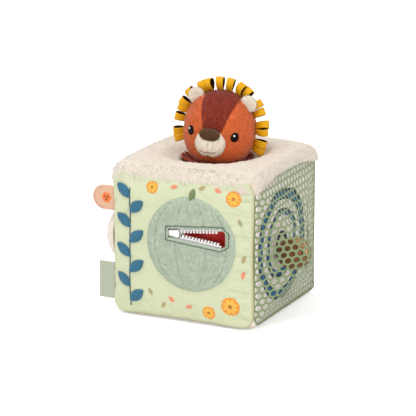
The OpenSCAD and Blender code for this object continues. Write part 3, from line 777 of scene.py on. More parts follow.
def stitches(corners, surface, length, gap, radius, closed=True):
    """Sewn stitches along a line of corner points, laid on a surface."""
    parts = []
    ends = corners[1:] + corners[:1] if closed else corners[1:]
    for (x0, z0), (x1, z1) in zip(corners, ends):
        count = max(1, round(math.hypot(x1 - x0, z1 - z0) / (length + gap)))
        for i in range(count):
            path = []
            for bend, lift in ((0, -0.3), (0.15, 0.25), (0.5, 0.45), (0.85, 0.25), (1, -0.3)):
                share = (i + 0.5 + (bend - 0.5) * length / (length + gap)) / count
                path.append(surface(x0 + (x1 - x0) * share, z0 + (z1 - z0) * share, lift * radius * 2))
            parts.append(tube(path, radius))
    return join_parts(parts)


green_thread = thread("dark green thread", "#45624f")
zip_sewing = stitches(zip_outline(-13.8, 44.9, 53.2, 6.9, 12.2), on_melon, 3.0, 0.7, 0.55)
topstitch = make("melon_topstitch", *zip_sewing, green_thread)
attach(topstitch, "cube")

# Leaves and embroidery
# Teal felt leaves are sewn in a sprig beside the melon, on an embroidered stalk. Satin-stitched citrus
# rounds and small leaves are scattered over the rest of the pad.
sprig_x, sprig_low, sprig_step, leaf_count = -54, 17, 15, 8
leaf_length, leaf_half, leaf_lean, leaf_high, felt_thick = 18, 5, 50, 1.1, 0.9
segments, citrus_rounds = 8, ((54, -51, 10), (31, -60, 7), (57, 57, 8), (-30, 59, 6.5))


def felt(name, colour, shade):
    # Pressed wool felt is matt and slightly mottled, with fine loose fibres
    made = shader(name, Roughness=0.95, Sheen_Weight=0.35, Sheen_Roughness=0.4)
    fine = {"Vector": on_object(made), "Scale": per_mm(1.4), "Detail": 6.0}
    fibres = add(made, "TexNoise", fine).outputs["Fac"]
    return mottle(made, fibres, linear(shade), linear(colour), 0.4, 0.3)


def satin_stitch(name, colour, sheen=0.2, gloss=0.3):
    # Rayon embroidery lies in close parallel threads with a silky gloss, drawn twice as coarse as life
    made = shader(name, Roughness=0.45, Specular_IOR_Level=gloss, Sheen_Weight=sheen)
    bands = {"Vector": on_object(made), "Scale": bands_per_mm(0.9), "Distortion": 1.5}
    rows = add(made, "TexWave", bands, bands_direction="DIAGONAL").outputs["Fac"]
    return mottle(made, rows, darker(colour, 0.75), linear(colour), 0.35, 0.2)


def leaf_patch(x, z, turn, length, wide, lift, fold=0.0):
    """A pointed leaf laid on the pad, with a fold along its vein."""
    def on_leaf(side, share):
        u, v = share * length, side * wide * math.sin(math.pi * share) ** 0.85
        out = lift * math.sqrt(max(0, 1 - side ** 6)) + fold * abs(side) * (1 - side * side)
        return on_pad(x + u * math.cos(turn) - v * math.sin(turn),
                      z + u * math.sin(turn) + v * math.cos(turn), out if 0 < share < 1 else 0)

    return sheet_grid(evenly(7, -1, 1), evenly(15), on_leaf)


def round_patch(x, z, reach, lift, surface=on_pad):
    """A round patch laid on a surface. reach is a function of the turn."""
    def on_round(share, turn):
        out = lift * math.sqrt(1 - share ** 8) - 0.1 * share ** 8
        r = share * reach(turn)
        return surface(x + r * math.cos(turn), z + r * math.sin(turn), out)

    rings, columns = 6, 40
    points, faces = ring_grid(columns, [ring / rings for ring in range(1, rings + 1)], on_round)
    fan = [(0, 1 + c, 1 + (c + 1) % columns) for c in range(columns)]
    return [surface(x, z, lift)] + points, fan + [tuple(i + 1 for i in face) for face in faces]


def over_pad(lift):
    """A surface that stands off the pad."""
    return lambda x, z, out: on_pad(x, z, out + lift)


leaf_parts, vein_parts = [], []
for i in range(leaf_count):
    turn = math.radians(90 + leaf_lean * (1 if i % 2 else -1))
    root = sprig_x, sprig_low + sprig_step * i
    leaf_parts.append(leaf_patch(*root, turn, leaf_length, leaf_half, leaf_high, 0.5))
    ends = [(root[0] + share * leaf_length * math.cos(turn), root[1] + share * leaf_length * math.sin(turn))
            for share in (0.08, 0.8)]
    vein_parts.append(stitches(ends, over_pad(leaf_high), 2.2, 0.7, 0.3, closed=False))
leaves = make("vine_leaves_felt", *join_parts(leaf_parts), felt("teal felt", "#38708a", "#285a72"))
settle(thicken(leaves, felt_thick))
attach(leaves, "cube")
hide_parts("vine_leaves")
stalk = [(sprig_x, sprig_low - 6 + 8 * i) for i in range(16)]
vein_parts.append(stitches(stalk, over_pad(0.2), 3.4, 0.3, 0.55, closed=False))
veins = make("leaf_embroidery", *join_parts(vein_parts), thread("dark teal thread", "#1f4a5e"))
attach(veins, "cube")

citrus_parts, flesh_parts = [], []
for x, z, r in citrus_rounds:
    citrus_parts.append(round_patch(x, half + z, lambda turn: r, 0.5))
    for i in range(segments):
        turn = math.tau * (i + 0.5) / segments
        start = x + 0.16 * r * math.cos(turn), half + z + 0.16 * r * math.sin(turn)
        flesh_parts.append(leaf_patch(*start, turn, 0.68 * r, 0.22 * r, 0.8))
sprig_places = {
    "coral": ((6, -58, 20), (-6, -54, 140), (66, -22, 80), (44, 62, 160), (-10, 61, 15)),
    "khaki": ((-20, -62, 60), (-30, -50, 120), (64, 30, 100), (20, 62, 30), (66, -6, 70)),
}
sprig_parts = {name: [leaf_patch(x, half + z, math.radians(turn), 8, 2.2, 0.5) for x, z, turn in places]
               for name, places in sprig_places.items()}
for name, parts, tint, colour in (("citrus", citrus_parts, "orange", "#ee9a33"),
                                  ("citrus_flesh", flesh_parts, "yellow", "#f8c04c"),
                                  ("coral", sprig_parts["coral"], "coral", "#e8906f"),
                                  ("khaki", sprig_parts["khaki"], "khaki", "#b3a475")):
    sewn = make(name + "_embroidery", *join_parts(parts), satin_stitch(tint + " rayon embroidery", colour))
    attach(sewn, "cube")
stalk_end = leaf_patch(melon_x, melon_z + melon_r - 3, math.radians(75), 11, 2.6, 1.2)
melon_stalk = make("melon_stalk", *stalk_end, felt("olive felt", "#7d8a5c", "#5f6c45"))
thicken(melon_stalk, felt_thick)
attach(melon_stalk, "cube")

# Zip and pocket
# A chunky moulded zip with a white woven tape on each side, open at the right. Its lips swing together
# as the slider runs along. Behind it is a pouch of red lining, sewn in behind the tapes.
pivot_x, zip_level, zip_open = -9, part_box("zip_tape_upper")[0].y / MM + 0.35, math.radians(5.6)
tape_columns, tape_rows, tape_from, tape_to, tape_low, tape_wide, tape_thick = 40, 6, -2, 53.7, 4.09, 6.5, 0.5


def moulded_plastic(name, colour):
    # Injection-moulded acetal is smooth and waxy, with faint flow marks
    made = shader(name, Base_Color=linear(colour), Roughness=0.38, Specular_IOR_Level=0.45,
                  Subsurface_Weight=0.08)
    marks = {"Vector": on_object(made), "Scale": per_mm(5), "Detail": 2.0}
    flow = add(made, "TexNoise", marks).outputs["Fac"]
    add(made, "Bump", {"Height": flow, "Strength": 0.08, "Distance": 0.2 * MM}, {"Normal": "Normal"})
    return made


def herringbone_tape(name, colour, shade):
    # Woven polyester tape has a close herringbone, drawn about twice as coarse as life
    made = shader(name, Roughness=0.8, Sheen_Weight=0.15)
    bands = {"Vector": on_object(made), "Scale": bands_per_mm(1.1), "Distortion": 0.3}
    twill = add(made, "TexWave", bands, bands_direction="DIAGONAL").outputs["Fac"]
    return mottle(made, twill, linear(shade), linear(colour), 0.3, 0.2)


def tape_place(side):
    """Places a tape over or under the zip's line, swung open about the slider's place."""
    def on_tape(along, up):
        sag = 0.12 * lumps((along, up, side * 9), 9, 4)
        return (pivot_x + along * math.cos(zip_open) - up * math.sin(zip_open), zip_level + sag,
                zip_z + side * (along * math.sin(zip_open) + up * math.cos(zip_open)))

    return on_tape


white_acetal = moulded_plastic("white moulded acetal", "#f6f4f2")
for node in ("zip_teeth_upper", "zip_teeth_lower", "zip_slider"):
    finish_node(node, white_acetal)
tape_weave = herringbone_tape("white zip tape", "#f3f0ee", "#d9d4d0")
tape_steps = evenly(tape_columns, tape_from, tape_to), evenly(tape_rows, tape_low, tape_low + tape_wide)
for side, name in ((1, "upper"), (-1, "lower")):
    strip = make("zip_tape_strip_" + name, *sheet_grid(*tape_steps, tape_place(side)), tape_weave)
    settle(thicken(strip, tape_thick, offset=0))
    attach(strip, "zip_" + name)
    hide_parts("zip_tape_" + name)

pouch_x, pouch_half_w, pouch_half_h, pouch_slack, pouch_wall, squareness = 24.35, 21.3, 12.5, 9, 0.6, 0.35
pouch_front, pouch_back = bay_floor + 0.1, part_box("zip_pocket_lining")[1].y / MM - 1.0
pouch_columns, pouch_rows = 72, 16


def pouch_place(share, turn):
    """A point of the pouch, back along its creased wall and then in over its loose bottom."""
    deep, inward = min(1, share / pouch_wall), max(0, (share - pouch_wall) / (1 - pouch_wall))
    x = math.copysign(abs(math.cos(turn)) ** squareness, math.cos(turn)) * pouch_half_w
    z = math.copysign(abs(math.sin(turn)) ** squareness, math.sin(turn)) * pouch_half_h
    crease = max(0, 0.5 * math.sin(math.pi * deep) * lumps((x, deep * 16, z), 6, 8))
    shrink = (1 - 0.97 * inward) * (1 - 0.03 * deep)
    back = pouch_front + (pouch_back - pouch_front) * deep - pouch_slack * math.sin(inward * math.pi / 2)
    return (pouch_x + (x - math.copysign(crease, x)) * shrink, back,
            zip_z + (z - math.copysign(crease, z)) * shrink)


red_cotton = woven_cotton("red cotton lining", "#e4433f", "XZ", shade="#c83432", stain=0.3)
pouch = make("pocket_pouch", *ring_grid(pouch_columns, evenly(pouch_rows), pouch_place), red_cotton)
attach(pouch, "cube")
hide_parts("zip_pocket_lining")

# Ball behind the net
# A stuffed ball of short plush in two colours, dark brown and tan, loose between the printed cloth and
# the net. It rolls to and fro along the side.
ball_low, ball_high = box_mm("net_ball")
ball_middle, ball_r = (ball_low + ball_high) / 2, (ball_high.z - ball_low.z) / 2
tan_side, ball_seam_deep, ball_seam_wide = Vector((0.25, 0.9, 0.35)).normalized(), 0.7, 1.3


def grid_ball(columns, rows, place):
    """Points and faces of a closed round form. place gives the point at a turn and a lift."""
    lifts = [math.pi * ((row + 0.02) / (rows - 0.96) - 0.5) for row in range(rows)]
    points, faces = ring_grid(columns, lifts, lambda lift, turn: tuple(place(turn, lift)))
    last_ring = range(len(points) - columns, len(points))
    return points, faces + [tuple(reversed(range(columns))), tuple(last_ring)]


def two_tone(made, other, other_shade):
    """Adds a second colour on the tan side of the ball to a pile or ground material."""
    first, place = base_colour(made), on_object(made)
    from_middle = add(made, "VectorMath", {0: place, 1: ball_middle * MM}, operation="SUBTRACT").outputs
    across = {0: from_middle["Vector"], 1: tan_side}
    reach = add(made, "VectorMath", across, operation="DOT_PRODUCT").outputs["Value"]
    past = add(made, "Math", {0: reach, 1: 0.0}, operation="GREATER_THAN").outputs["Value"]
    # On the tan side the pile's random clumps are darker too, as painted shade.
    shaded_clumps = add(made, "TexNoise", {"Vector": place, "Scale": per_mm(3)}).outputs["Fac"]
    dyes = {"Fac": shaded_clumps, "Color1": linear(other_shade), "Color2": linear(other)}
    return mottle(made, past, first, add(made, "MixRGB", dyes).outputs["Color"])


def ball_place(turn, lift):
    """A point of the ball, with a groove at the seam between its colours."""
    way = Vector(around(math.cos(lift), turn, math.sin(lift)))
    groove = ball_seam_deep * math.exp(-(way.dot(tan_side) * ball_r / ball_seam_wide) ** 2)
    return ball_middle + way * (ball_r - 0.9 - groove + 0.3 * lumps(way * 20, 12, 9))


ball_ground = knitted_back("brown and tan plush ground", "#a07048", "#82572f", 1.6)
ball_pile = pile_fibre("brown and tan plush pile", "#b08055", "#8a5a38", 8.0)
two_tone(ball_ground, "#e8bd8c", "#cf9f6a")
two_tone(ball_pile, "#f0c899", "#d6a878")
ball = make("net_ball_plush", *grid_ball(64, 34, ball_place), ball_ground, ball_pile)
grow_pile(ball, 3200, 1.3, 0.8, (0, 0, -0.6), 41)
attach(ball, "ball")
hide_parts("net_ball")

# Net side
# A green knitted net with round holes, sewn into the side's seams. It is tight on the ball and then falls
# back on the cloth. Four panels meet on the lines from the ball to the corners.
net_half, net_low, net_high, net_over, top_over = half - 3, 3, 2 * half - 3, 0.9, 4
net_pitch, net_step, net_hole, net_round, net_thick = 7.5, 6.2, 0.79, 11, 0.35
over_ball, ball_stand, fall_front, fall_back = ball_r + 1.0, ball_middle.x - half - 0.9, 1.1, 1.9
border = {"back": (net_half, ball_middle.z), "front": (-net_half, ball_middle.z),
          "top": (ball_middle.y, net_high), "base": (ball_middle.y, net_low)}
net_corners = {"low front": (-net_half, net_low), "low back": (net_half, net_low),
               "high back": (net_half, net_high), "high front": (-net_half, net_high)}
panel_ends = {"back": ("high back", "low back"), "front": ("low front", "high front"),
              "top": ("high front", "high back"), "base": ("low back", "low front")}
follows_to, rim_steps, rim_r = 0.35, 48, 0.9


def net_share(y, z):
    """Share of the way from the ball (0) to the sewn border (1)."""
    side = net_half if y > ball_middle.y else -net_half
    end = net_high if z > ball_middle.z else net_low
    return max((y - ball_middle.y) / (side - ball_middle.y), (z - ball_middle.z) / (end - ball_middle.z))


def edge_drop(past):
    """Drop of the cube's rolled edge past the end of its flat face."""
    past = min(past, edge_round)
    return 0 if past <= 0 else edge_round - math.sqrt(edge_round ** 2 - past * past)


def tent(d, reach, fall):
    """Height of the net at a distance d from the ball's middle, with the sewn border at a distance reach."""
    leaves, stays = 0.0, over_ball * 0.999
    for _ in range(24):
        guess = (leaves + stays) / 2
        cap = math.sqrt(over_ball ** 2 - guess ** 2)
        steeper = guess / cap > fall * (ball_stand + cap) / (reach - guess)
        leaves, stays = (leaves, guess) if steeper else (guess, stays)
    if d < leaves:
        return ball_stand + math.sqrt(over_ball ** 2 - d * d)
    height = ball_stand + math.sqrt(over_ball ** 2 - leaves * leaves)
    return height * max(0, (reach - d) / (reach - leaves)) ** fall


def in_border(y, z):
    """The nearest place inside the net's sewn border, which has round corners."""
    y, z = max(-net_half, min(net_half, y)), max(net_low, min(net_high, z))
    inner_y = max(net_round - net_half, min(net_half - net_round, y))
    inner_z = max(net_low + net_round, min(net_high - net_round, z))
    back = min(1, net_round / max(math.hypot(y - inner_y, z - inner_z), 1e-6))
    return inner_y + (y - inner_y) * back, inner_z + (z - inner_z) * back


def on_net(y, z):
    """The point of the net at a place across the right side."""
    d = max(0.01, math.hypot(y - ball_middle.y, z - ball_middle.z))
    behind = 0.5 + 0.5 * (y - ball_middle.y) / d
    rise = tent(d, d / max(net_share(y, z), 1e-4), fall_front + (fall_back - fall_front) * behind)
    past_top = z - 2 * half + edge_round - top_over
    drop = max(edge_drop(abs(y) - face_flat), edge_drop(edge_round - z), edge_drop(past_top))
    return half + net_over + rise - drop, y, z


def knitted_net(name, colour, shade):
    # Warp-knitted polyester net has thick soft strands with a faint gloss
    made = shader(name, Roughness=0.7, Sheen_Weight=0.25, Sheen_Roughness=0.4)
    strand = {"Vector": on_object(made), "Scale": per_mm(1.6), "Detail": 4.0}
    yarn = add(made, "TexNoise", strand).outputs["Fac"]
    return mottle(made, yarn, linear(shade), linear(colour), 0.4, 0.3)


corner_index, corner_list, holes, strands = {}, [], [], []


def net_corner(y, z):
    """Index of a knot, shared by the cells that meet there."""
    key = round(y * 4), round(z * 4)
    if key not in corner_index:
        corner_index[key] = len(corner_list)
        corner_list.append(in_border(y, z))
    return corner_index[key]


for row in range(round(2 * net_half / net_step) + 1):
    z = net_low + row * net_step
    for column in range(round(2 * net_half / net_pitch) + 1):
        y = -net_half + (column + 0.5 * (row % 2)) * net_pitch
        if y > net_half + 0.1 or z > net_high + 0.1:
            continue
        wide, tall = net_pitch / 2, net_step / 3
        ring = [net_corner(y + a * wide, z + b * tall)
                for a, b in ((0, -2), (1, -1), (1, 1), (0, 2), (-1, 1), (-1, -1))]
        flat = [corner_list[i] for i in ring]
        cy, cz = sum(p[0] for p in flat) / 6, sum(p[1] for p in flat) / 6
        first = len(holes)
        holes += [(cy + (p[0] - cy) * net_hole, cz + (p[1] - cz) * net_hole) for p in flat]
        strands += [(ring[i], ring[(i + 1) % 6], -1 - first - (i + 1) % 6, -1 - first - i) for i in range(6)]
faces = [tuple(i if i >= 0 else len(corner_list) - 1 - i for i in face) for face in strands]
green_net = knitted_net("green knitted net", "#8b9a6f", "#6b7c54")
lattice = make("net_lattice", [on_net(y, z) for y, z in corner_list + holes], faces, green_net)
thicken(lattice, net_thick, offset=0)
settle(modify(lattice, "SUBSURF", levels=1))
middle = Vector((0, ball_middle.y, ball_middle.z))
for side, ends in panel_ends.items():
    share = bmesh.new()
    share.from_mesh(lattice.data)
    for sign, end in zip((-1, 1), ends):
        across = (Vector((0, *net_corners[end])) - middle).cross(Vector((1, 0, 0))) * sign
        bmesh.ops.bisect_plane(share, geom=share.verts[:] + share.edges[:] + share.faces[:],
                               plane_co=middle * MM, plane_no=across, clear_outer=True)
    panel = make("net_panel_" + side, [], [], green_net)
    share.to_mesh(panel.data)
    share.free()
    edge = Vector((ball_middle.x, *border[side]))
    start = ball_middle + follows_to * (edge - ball_middle)
    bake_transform(panel)
    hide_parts("net_cover")
bpy.data.objects.remove(lattice)
corners = list(net_corners.values())
rim_path = [(y0 + (y1 - y0) * i / rim_steps, z0 + (z1 - z0) * i / rim_steps)
            for (y0, z0), (y1, z1) in zip(corners, corners[1:] + corners[:1]) for i in range(rim_steps)]
sewn_rim = tube([on_net(*in_border(y, z)) for y, z in rim_path], rim_r, closed=True)
selvedge = make("net_selvedge", *sewn_rim, green_net)
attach(selvedge, "cube")

# Seam tab and label
# A peach cotton tab with a round end and a folded ribbon label are caught in the seam at the pad's left
# side. The tab is two layers with a stitched edge and an embroidered round. The label is plain.
tab_low, tab_high = box_mm("seam_tab")
tab_middle, tab_bow = (tab_low + tab_high) / 2, (tab_high.z - tab_low.z) / 2
tab_root, tab_thick, tab_x = tab_high.x - 0.4, tab_high.y - tab_low.y, tab_low.x + tab_bow - 2
tab_columns, tab_rings, round_x, sewn_in = 80, 12, tab_x + 3, 2


def tab_reach(turn):
    """Distance from the middle of the tab's bow to its edge."""
    way_x, way_z = math.cos(turn), math.sin(turn)
    if way_x <= 0:
        return tab_bow
    return min((tab_root - tab_x) / max(way_x, 1e-6), tab_bow / max(abs(way_z), 1e-6))


def tab_place(row, turn):
    """A point of the tab's front or back at a share of the way to its edge, where it gets thin."""
    face_side, share = row
    x = tab_x + share * tab_reach(turn) * math.cos(turn)
    z = tab_middle.z + share * tab_reach(turn) * math.sin(turn)
    out = 0.5 * tab_thick * math.sqrt(max(0.02, 1 - share ** 8))
    return x, tab_middle.y + face_side * out + 0.15 * lumps((x, z, 0), 8, 5), z


def on_tab(x, z, out=0.0):
    """The point of the tab's front face at a place across it."""
    return x, tab_middle.y - 0.5 * tab_thick - out, z


tab_shares = evenly(tab_rings, 0.03, 1)
tab_rows = [(-1, share) for share in tab_shares] + [(1, share) for share in reversed(tab_shares)]
points, tab_faces = ring_grid(tab_columns, tab_rows, tab_place)
last_ring = range(len(points) - tab_columns, len(points))
tab_faces = turned(tab_faces + [tuple(range(tab_columns)), tuple(reversed(last_ring))])
peach_cotton = woven_cotton("peach cotton", "#d6ab8f", "XZ", shade="#c79578")
tab = make("seam_tab_cotton", points, tab_faces, peach_cotton)
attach(tab, "tab")
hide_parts("seam_tab")

rounds = round_patch(round_x, tab_middle.z, lambda turn: 5.2 + 0.5 * math.cos(6 * turn), 0.35, on_tab)
dots = [round_patch(round_x + 2.2 * math.cos(turn), tab_middle.z + 2.2 * math.sin(turn),
                    lambda _: 0.9, 0.6, on_tab) for turn in (0.5, 2.6, 4.7)]
edge_line = [(tab_x + (tab_reach(turn) - sewn_in) * math.cos(turn),
              tab_middle.z + (tab_reach(turn) - sewn_in) * math.sin(turn))
             for turn in evenly(13, math.pi / 2, 1.5 * math.pi)]
tab_sewing = {
    "tab_round": (rounds, satin_stitch("orange embroidery thread", "#f47a2a")),
    "tab_dots": (join_parts(dots), satin_stitch("navy embroidery thread", "#0b2a55")),
    "tab_topstitch": (stitches(edge_line, on_tab, 2.0, 0.7, 0.25, closed=False),
                      thread("peach thread", "#dfa98c")),
}
for name, (shape, made) in tab_sewing.items():
    piece = make(name, *shape, made)
    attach(piece, "tab")

label_low, label_high = box_mm("seam_label")
label_middle, label_turn, label_rows = (label_low + label_high) / 2, 0.5, 22
label_out, label_root = label_low.x + label_turn - 1.7, label_high.x - 0.3
label_flat, label_bend = evenly(15, label_root, label_out), evenly(9, 0, math.pi)[1:-1]
label_path = [(x, -label_turn) for x in label_flat]
label_path += [(label_out - label_turn * math.sin(a), -label_turn * math.cos(a)) for a in label_bend]
label_path += [(x, label_turn) for x in reversed(label_flat)]


def label_place(path_point, z):
    """A point of the folded ribbon, which curls a little away from its seam."""
    x, y = path_point
    curl = 0.4 * lumps((x, 0, z), 16, 11) * min(1, (label_root - x) / 6)
    return x, label_middle.y + y + curl, z


ribbon_white = herringbone_tape("grey-white woven ribbon", "#b2b8a3", "#9fa590")
label_grid = sheet_grid(label_path, evenly(label_rows, label_low.z, label_high.z), label_place)
label = make("seam_label_ribbon", *label_grid, ribbon_white)
thicken(label, 0.35, offset=0)
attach(label, "label")
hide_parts("seam_label")

# Lion's neck
# A gathered sleeve of rust cotton runs in the well and carries the head. Its top is drawn in round the
# stuffed neck, and a frill of the same cloth stands up round the chin.
sleeve_low, sleeve_high = box_mm("neck_sleeve")
sleeve_r, neck_r, gathers, gather_deep, sleeve_wall = sleeve_high.x - 1.9, 15, 14, 1.3, 0.6
sleeve_columns, sleeve_rows, sleeve_thick = 168, 18, 0.6
frill_low, frill_high, frill_wave, pleat_deep = sleeve_high.z + 0.4, 13.0, 1.1, 1.5
frill_in, frill_out, frill_columns, frill_rows = neck_r + 3.2, sleeve_r - 2.2, 224, 12
neck_low, neck_high = box_mm("neck_plug")
neck_foot, neck_top, neck_in = neck_low.z, neck_high.z - 3, neck_r - 0.7


def sleeve_place(share, turn):
    """A point of the sleeve, up its gathered wall and then in to the neck."""
    drawn = max(0, (share - sleeve_wall) / (1 - sleeve_wall))
    wave = gather_deep * math.cos(gathers * turn + 0.6 * math.sin(3 * turn)) * (1 - drawn)
    up = min(1, share / sleeve_wall) + 0.02 * math.sin(math.pi * drawn)
    return around(sleeve_r + wave + (neck_r + 0.9 - sleeve_r) * drawn, turn,
                  sleeve_low.z + (sleeve_high.z - sleeve_low.z - 0.8) * up)


def frill_place(share, turn):
    """A point of the frill, which opens out upwards in uneven pleats."""
    pleat = math.cos(2 * gathers * turn + 1.3 * math.sin(5 * turn)) + 0.5 * lumps(around(9, turn, 0), 4, 12)
    reach = frill_in + (frill_out - frill_in) * share ** 0.75 + pleat_deep * pleat * share
    wave = frill_wave * share * math.sin(2 * gathers * turn + 1.0)
    return around(reach, turn, frill_low + frill_high * share ** 1.4 + wave)


def neck_place(turn, lift):
    """A point of the stuffed neck, a short post with round ends."""
    return around(neck_in * min(1, 2.2 * math.cos(lift)), turn,
                  (neck_foot + neck_top) / 2 + (neck_top - neck_foot) / 2 * math.sin(lift))


rust_cotton = woven_cotton("rust cotton", "#a04226", "XZ", shade="#7a2e1b", stain=0.35)
sleeve = make("neck_sleeve_cloth", *ring_grid(sleeve_columns, evenly(sleeve_rows), sleeve_place), rust_cotton)
thicken(sleeve, sleeve_thick)
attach(sleeve, "lion_sleeve")
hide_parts("neck_sleeve")

frill = make("neck_frill", *ring_grid(frill_columns, evenly(frill_rows), frill_place), rust_cotton)
thicken(frill, sleeve_thick, offset=0)
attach(frill, "lion_sleeve")
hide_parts("neck_ruffle")

terracotta_ground = knitted_back("terracotta plush ground", "#f27b40", "#a0380f", 2.4, 0.9)
terracotta_pile = pile_fibre("terracotta plush pile", "#ee7941", "#c8531e", 8.0, 0.2)
neck = make("neck_plush", *grid_ball(48, 20, neck_place), terracotta_ground)
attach(neck, "lion_head")
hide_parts("neck_plug")

# Lion's head
# A stuffed ball of short plush: two terracotta cheeks, a maroon strip over the forehead and a back, sewn
# together, with the mane caught in the seam before the back. The cheeks swell between the seams.
head_wide, head_up, head_down, head_power, seam_back = 35.2, 39.2, 37.6, 2.2, 3
strip_low, strip_high, strip_from, strip_to = 8, 20, 2, 42
seam_deep, seam_wide, cheek_high, cheek_wide, skin_in = 1.0, 1.4, 0.5, 9, 0.4
head_right, head_rise, head_yaw, head_tilt = 3.5, 27, math.radians(10), math.radians(6)
head_turn = (Matrix.Translation((head_right, 0, 2 * half + head_rise))
             @ Matrix.Rotation(head_yaw, 4, "Z") @ Matrix.Rotation(head_tilt, 4, "Y"))
squeezed_from, squeezed_keep, filling_share = -32, 0.9, 0.94


def head_reach(lift):
    """Distance from the head's middle to its outline at a lift over its level."""
    tall = head_up if lift > 0 else head_down
    wide_part, tall_part = abs(math.cos(lift) / head_wide), abs(math.sin(lift) / tall)
    return (wide_part ** head_power + tall_part ** head_power) ** (-1 / head_power)


def head_place(turn, lift, out=0.0):
    """A point of the head's outline, lifted off by out, before the head is turned."""
    reach = head_reach(lift) + out
    return Vector(around(reach * math.cos(lift), turn, reach * math.sin(lift)))


def strip_half(z):
    """Half the width of the forehead strip at a height."""
    return strip_low + (strip_high - strip_low) * (z - strip_from) / (strip_to - strip_from)


def panel_of(p):
    """The plush panel that a point of the head belongs to."""
    if p.y > seam_back:
        return "head_back"
    if p.z > strip_from and abs(p.x) < strip_half(p.z):
        return "head_gusset"
    return "head_left" if p.x < 0 else "head_right"


def from_seam(p):
    """Distance of a point of the head from the nearest seam."""
    to_back = abs(p.y - seam_back)
    if p.y >= seam_back + 1:
        return to_back
    if p.z > strip_from:
        return min(to_back, abs(abs(p.x) - strip_half(p.z)) * 0.95)
    if p.z < strip_from - strip_low:
        return min(to_back, abs(p.x))
    return min(to_back, strip_from - p.z + abs(p.x) * 0.2)


def squeeze_head(piece):
    """Gives a piece its own copy of its mesh."""
    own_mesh(piece)


head_plush = {
    "head_left": (terracotta_ground, terracotta_pile, "lion_plush", 4200, 59),
    "head_right": (terracotta_ground, terracotta_pile, "lion_plush", 4200, 60),
    "head_gusset": (knitted_back("maroon plush ground", "#aa3f2a", "#4b0e04", 2.4, 0.9),
                    pile_fibre("maroon plush pile", "#a4402d", "#5e170c", 10.0, 0.15),
                    "lion_brown", 2600, 61),
    "head_back": (terracotta_ground, terracotta_pile, "lion_plush", 5000, 59),
}
whole = make("head_form", *grid_ball(120, 84, head_place))
skin = bmesh.new()
skin.from_mesh(whole.data)
bpy.data.objects.remove(whole)
slant = (strip_high - strip_low) / (strip_to - strip_from)
seam_planes = [((0, seam_back, 0), (0, 1, 0)), ((strip_low, 0, strip_from), (1, 0, -slant)),
               ((-strip_low, 0, strip_from), (1, 0, slant)), ((0, 0, strip_from), (0, 0, 1)),
               ((0, 0, 0), (1, 0, 0))]
for point, way in seam_planes:
    bmesh.ops.bisect_plane(skin, geom=skin.verts[:] + skin.edges[:] + skin.faces[:],
                           plane_co=Vector(point) * MM, plane_no=Vector(way))
belongs = [panel_of(face.calc_center_median() / MM) for face in skin.faces]
for vertex in skin.verts:
    p = vertex.co / MM
    d = from_seam(p)
    groove, cheek = seam_deep * math.exp(-(d / seam_wide) ** 2), 1 - math.exp(-(d / cheek_wide) ** 2)
    out = cheek_high * cheek - groove + 0.25 * lumps(p, 11, 13) - skin_in
    vertex.co = (p + p.normalized() * out) * MM
skin.verts.index_update()
skin_points = [tuple(head_turn @ (v.co / MM)) for v in skin.verts]
skin_faces = [tuple(v.index for v in face.verts) for face in skin.faces]
skin.free()
for node, (ground, pile, slot, tufts, seed) in head_plush.items():
    mine = [face for face, owner in zip(skin_faces, belongs) if owner == node]
    used = sorted({i for face in mine for i in face})
    renumber = {old: new for new, old in enumerate(used)}
    piece = make(node + "_plush", [skin_points[i] for i in used],
                 [tuple(renumber[i] for i in face) for face in mine], ground, pile)
    grow_pile(piece, tufts, 1.4, 0.8, (0, 0, -0.8), seed)
    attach(piece, "lion_head")
    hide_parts(node)
    squeeze_head(piece)
fibre = polyurethane_foam("white polyester fibre filling", "#f4f2ee")
filled = grid_ball(48, 32, lambda turn, lift: head_turn @ (filling_share * head_place(turn, lift)))
filling = make("head_filling", *filled, fibre)
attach(filling, "lion_head")
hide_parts("head_stuffing")
squeeze_head(filling)

# Lion's face
# A stuffed cream muzzle with a centre seam and a dark brown nose are sewn on over the end of the forehead
# strip. Two cream ears are caught in the seam, and the round eyes and the mouth are embroidered.
muzzle_r, muzzle_out, muzzle_y, muzzle_z, notch_deep, notch_wide = 14.2, 10.6, -33, -6, 0.13, 13
nose_r, nose_half, nose_y, nose_z, nose_droop = 5.2, 10.2, -40, 4.4, 1.5
ear_r, ear_thick, ear_y, ear_dish, ear_angle = 8.1, 3.0, -3.6, 1.2, math.radians(40)
eye_lift, eye_turn, eye_up_r, eye_side_r, eye_off = math.radians(3.5), math.radians(39), 37, 36.5, 0.7
bun_power, face_keep = 2.3, 0.25


def bun(lift, reach, half_thick):
    """Radius and rise of a stuffed bun's section."""
    wide_part, high_part = abs(math.cos(lift) / reach), abs(math.sin(lift) / half_thick)
    d = (wide_part ** bun_power + high_part ** bun_power) ** (-1 / bun_power)
    return d * math.cos(lift), d * math.sin(lift)


def muzzle_at(turn, lift, out=0.0):
    """A point of the muzzle. It faces out of the head along -Y, with a notch at its lower edge."""
    r, rise = bun(lift, muzzle_r + out, muzzle_out + out)
    below = math.exp(-((math.degrees(turn) % 360 - 270) / notch_wide) ** 2)
    r *= 1 - notch_deep * below * math.cos(lift) ** 2
    x, z = 1.04 * r * math.cos(turn), 0.96 * r * math.sin(turn)
    seam = 0.9 * math.exp(-(x / 1.3) ** 2) * (1 if z < 2 else 0)
    return head_turn @ Vector((x, muzzle_y - rise + seam, muzzle_z + z))


def nose_at(turn, lift):
    """A point of the nose, a bun that lies across the muzzle and droops in the middle."""
    r, along = bun(lift, nose_r, nose_half)
    droop = nose_droop * (1 - (along / nose_half) ** 2) if math.sin(turn) < 0 else 0
    return head_turn @ Vector((along, nose_y + r * math.cos(turn), nose_z + r * math.sin(turn) - droop))


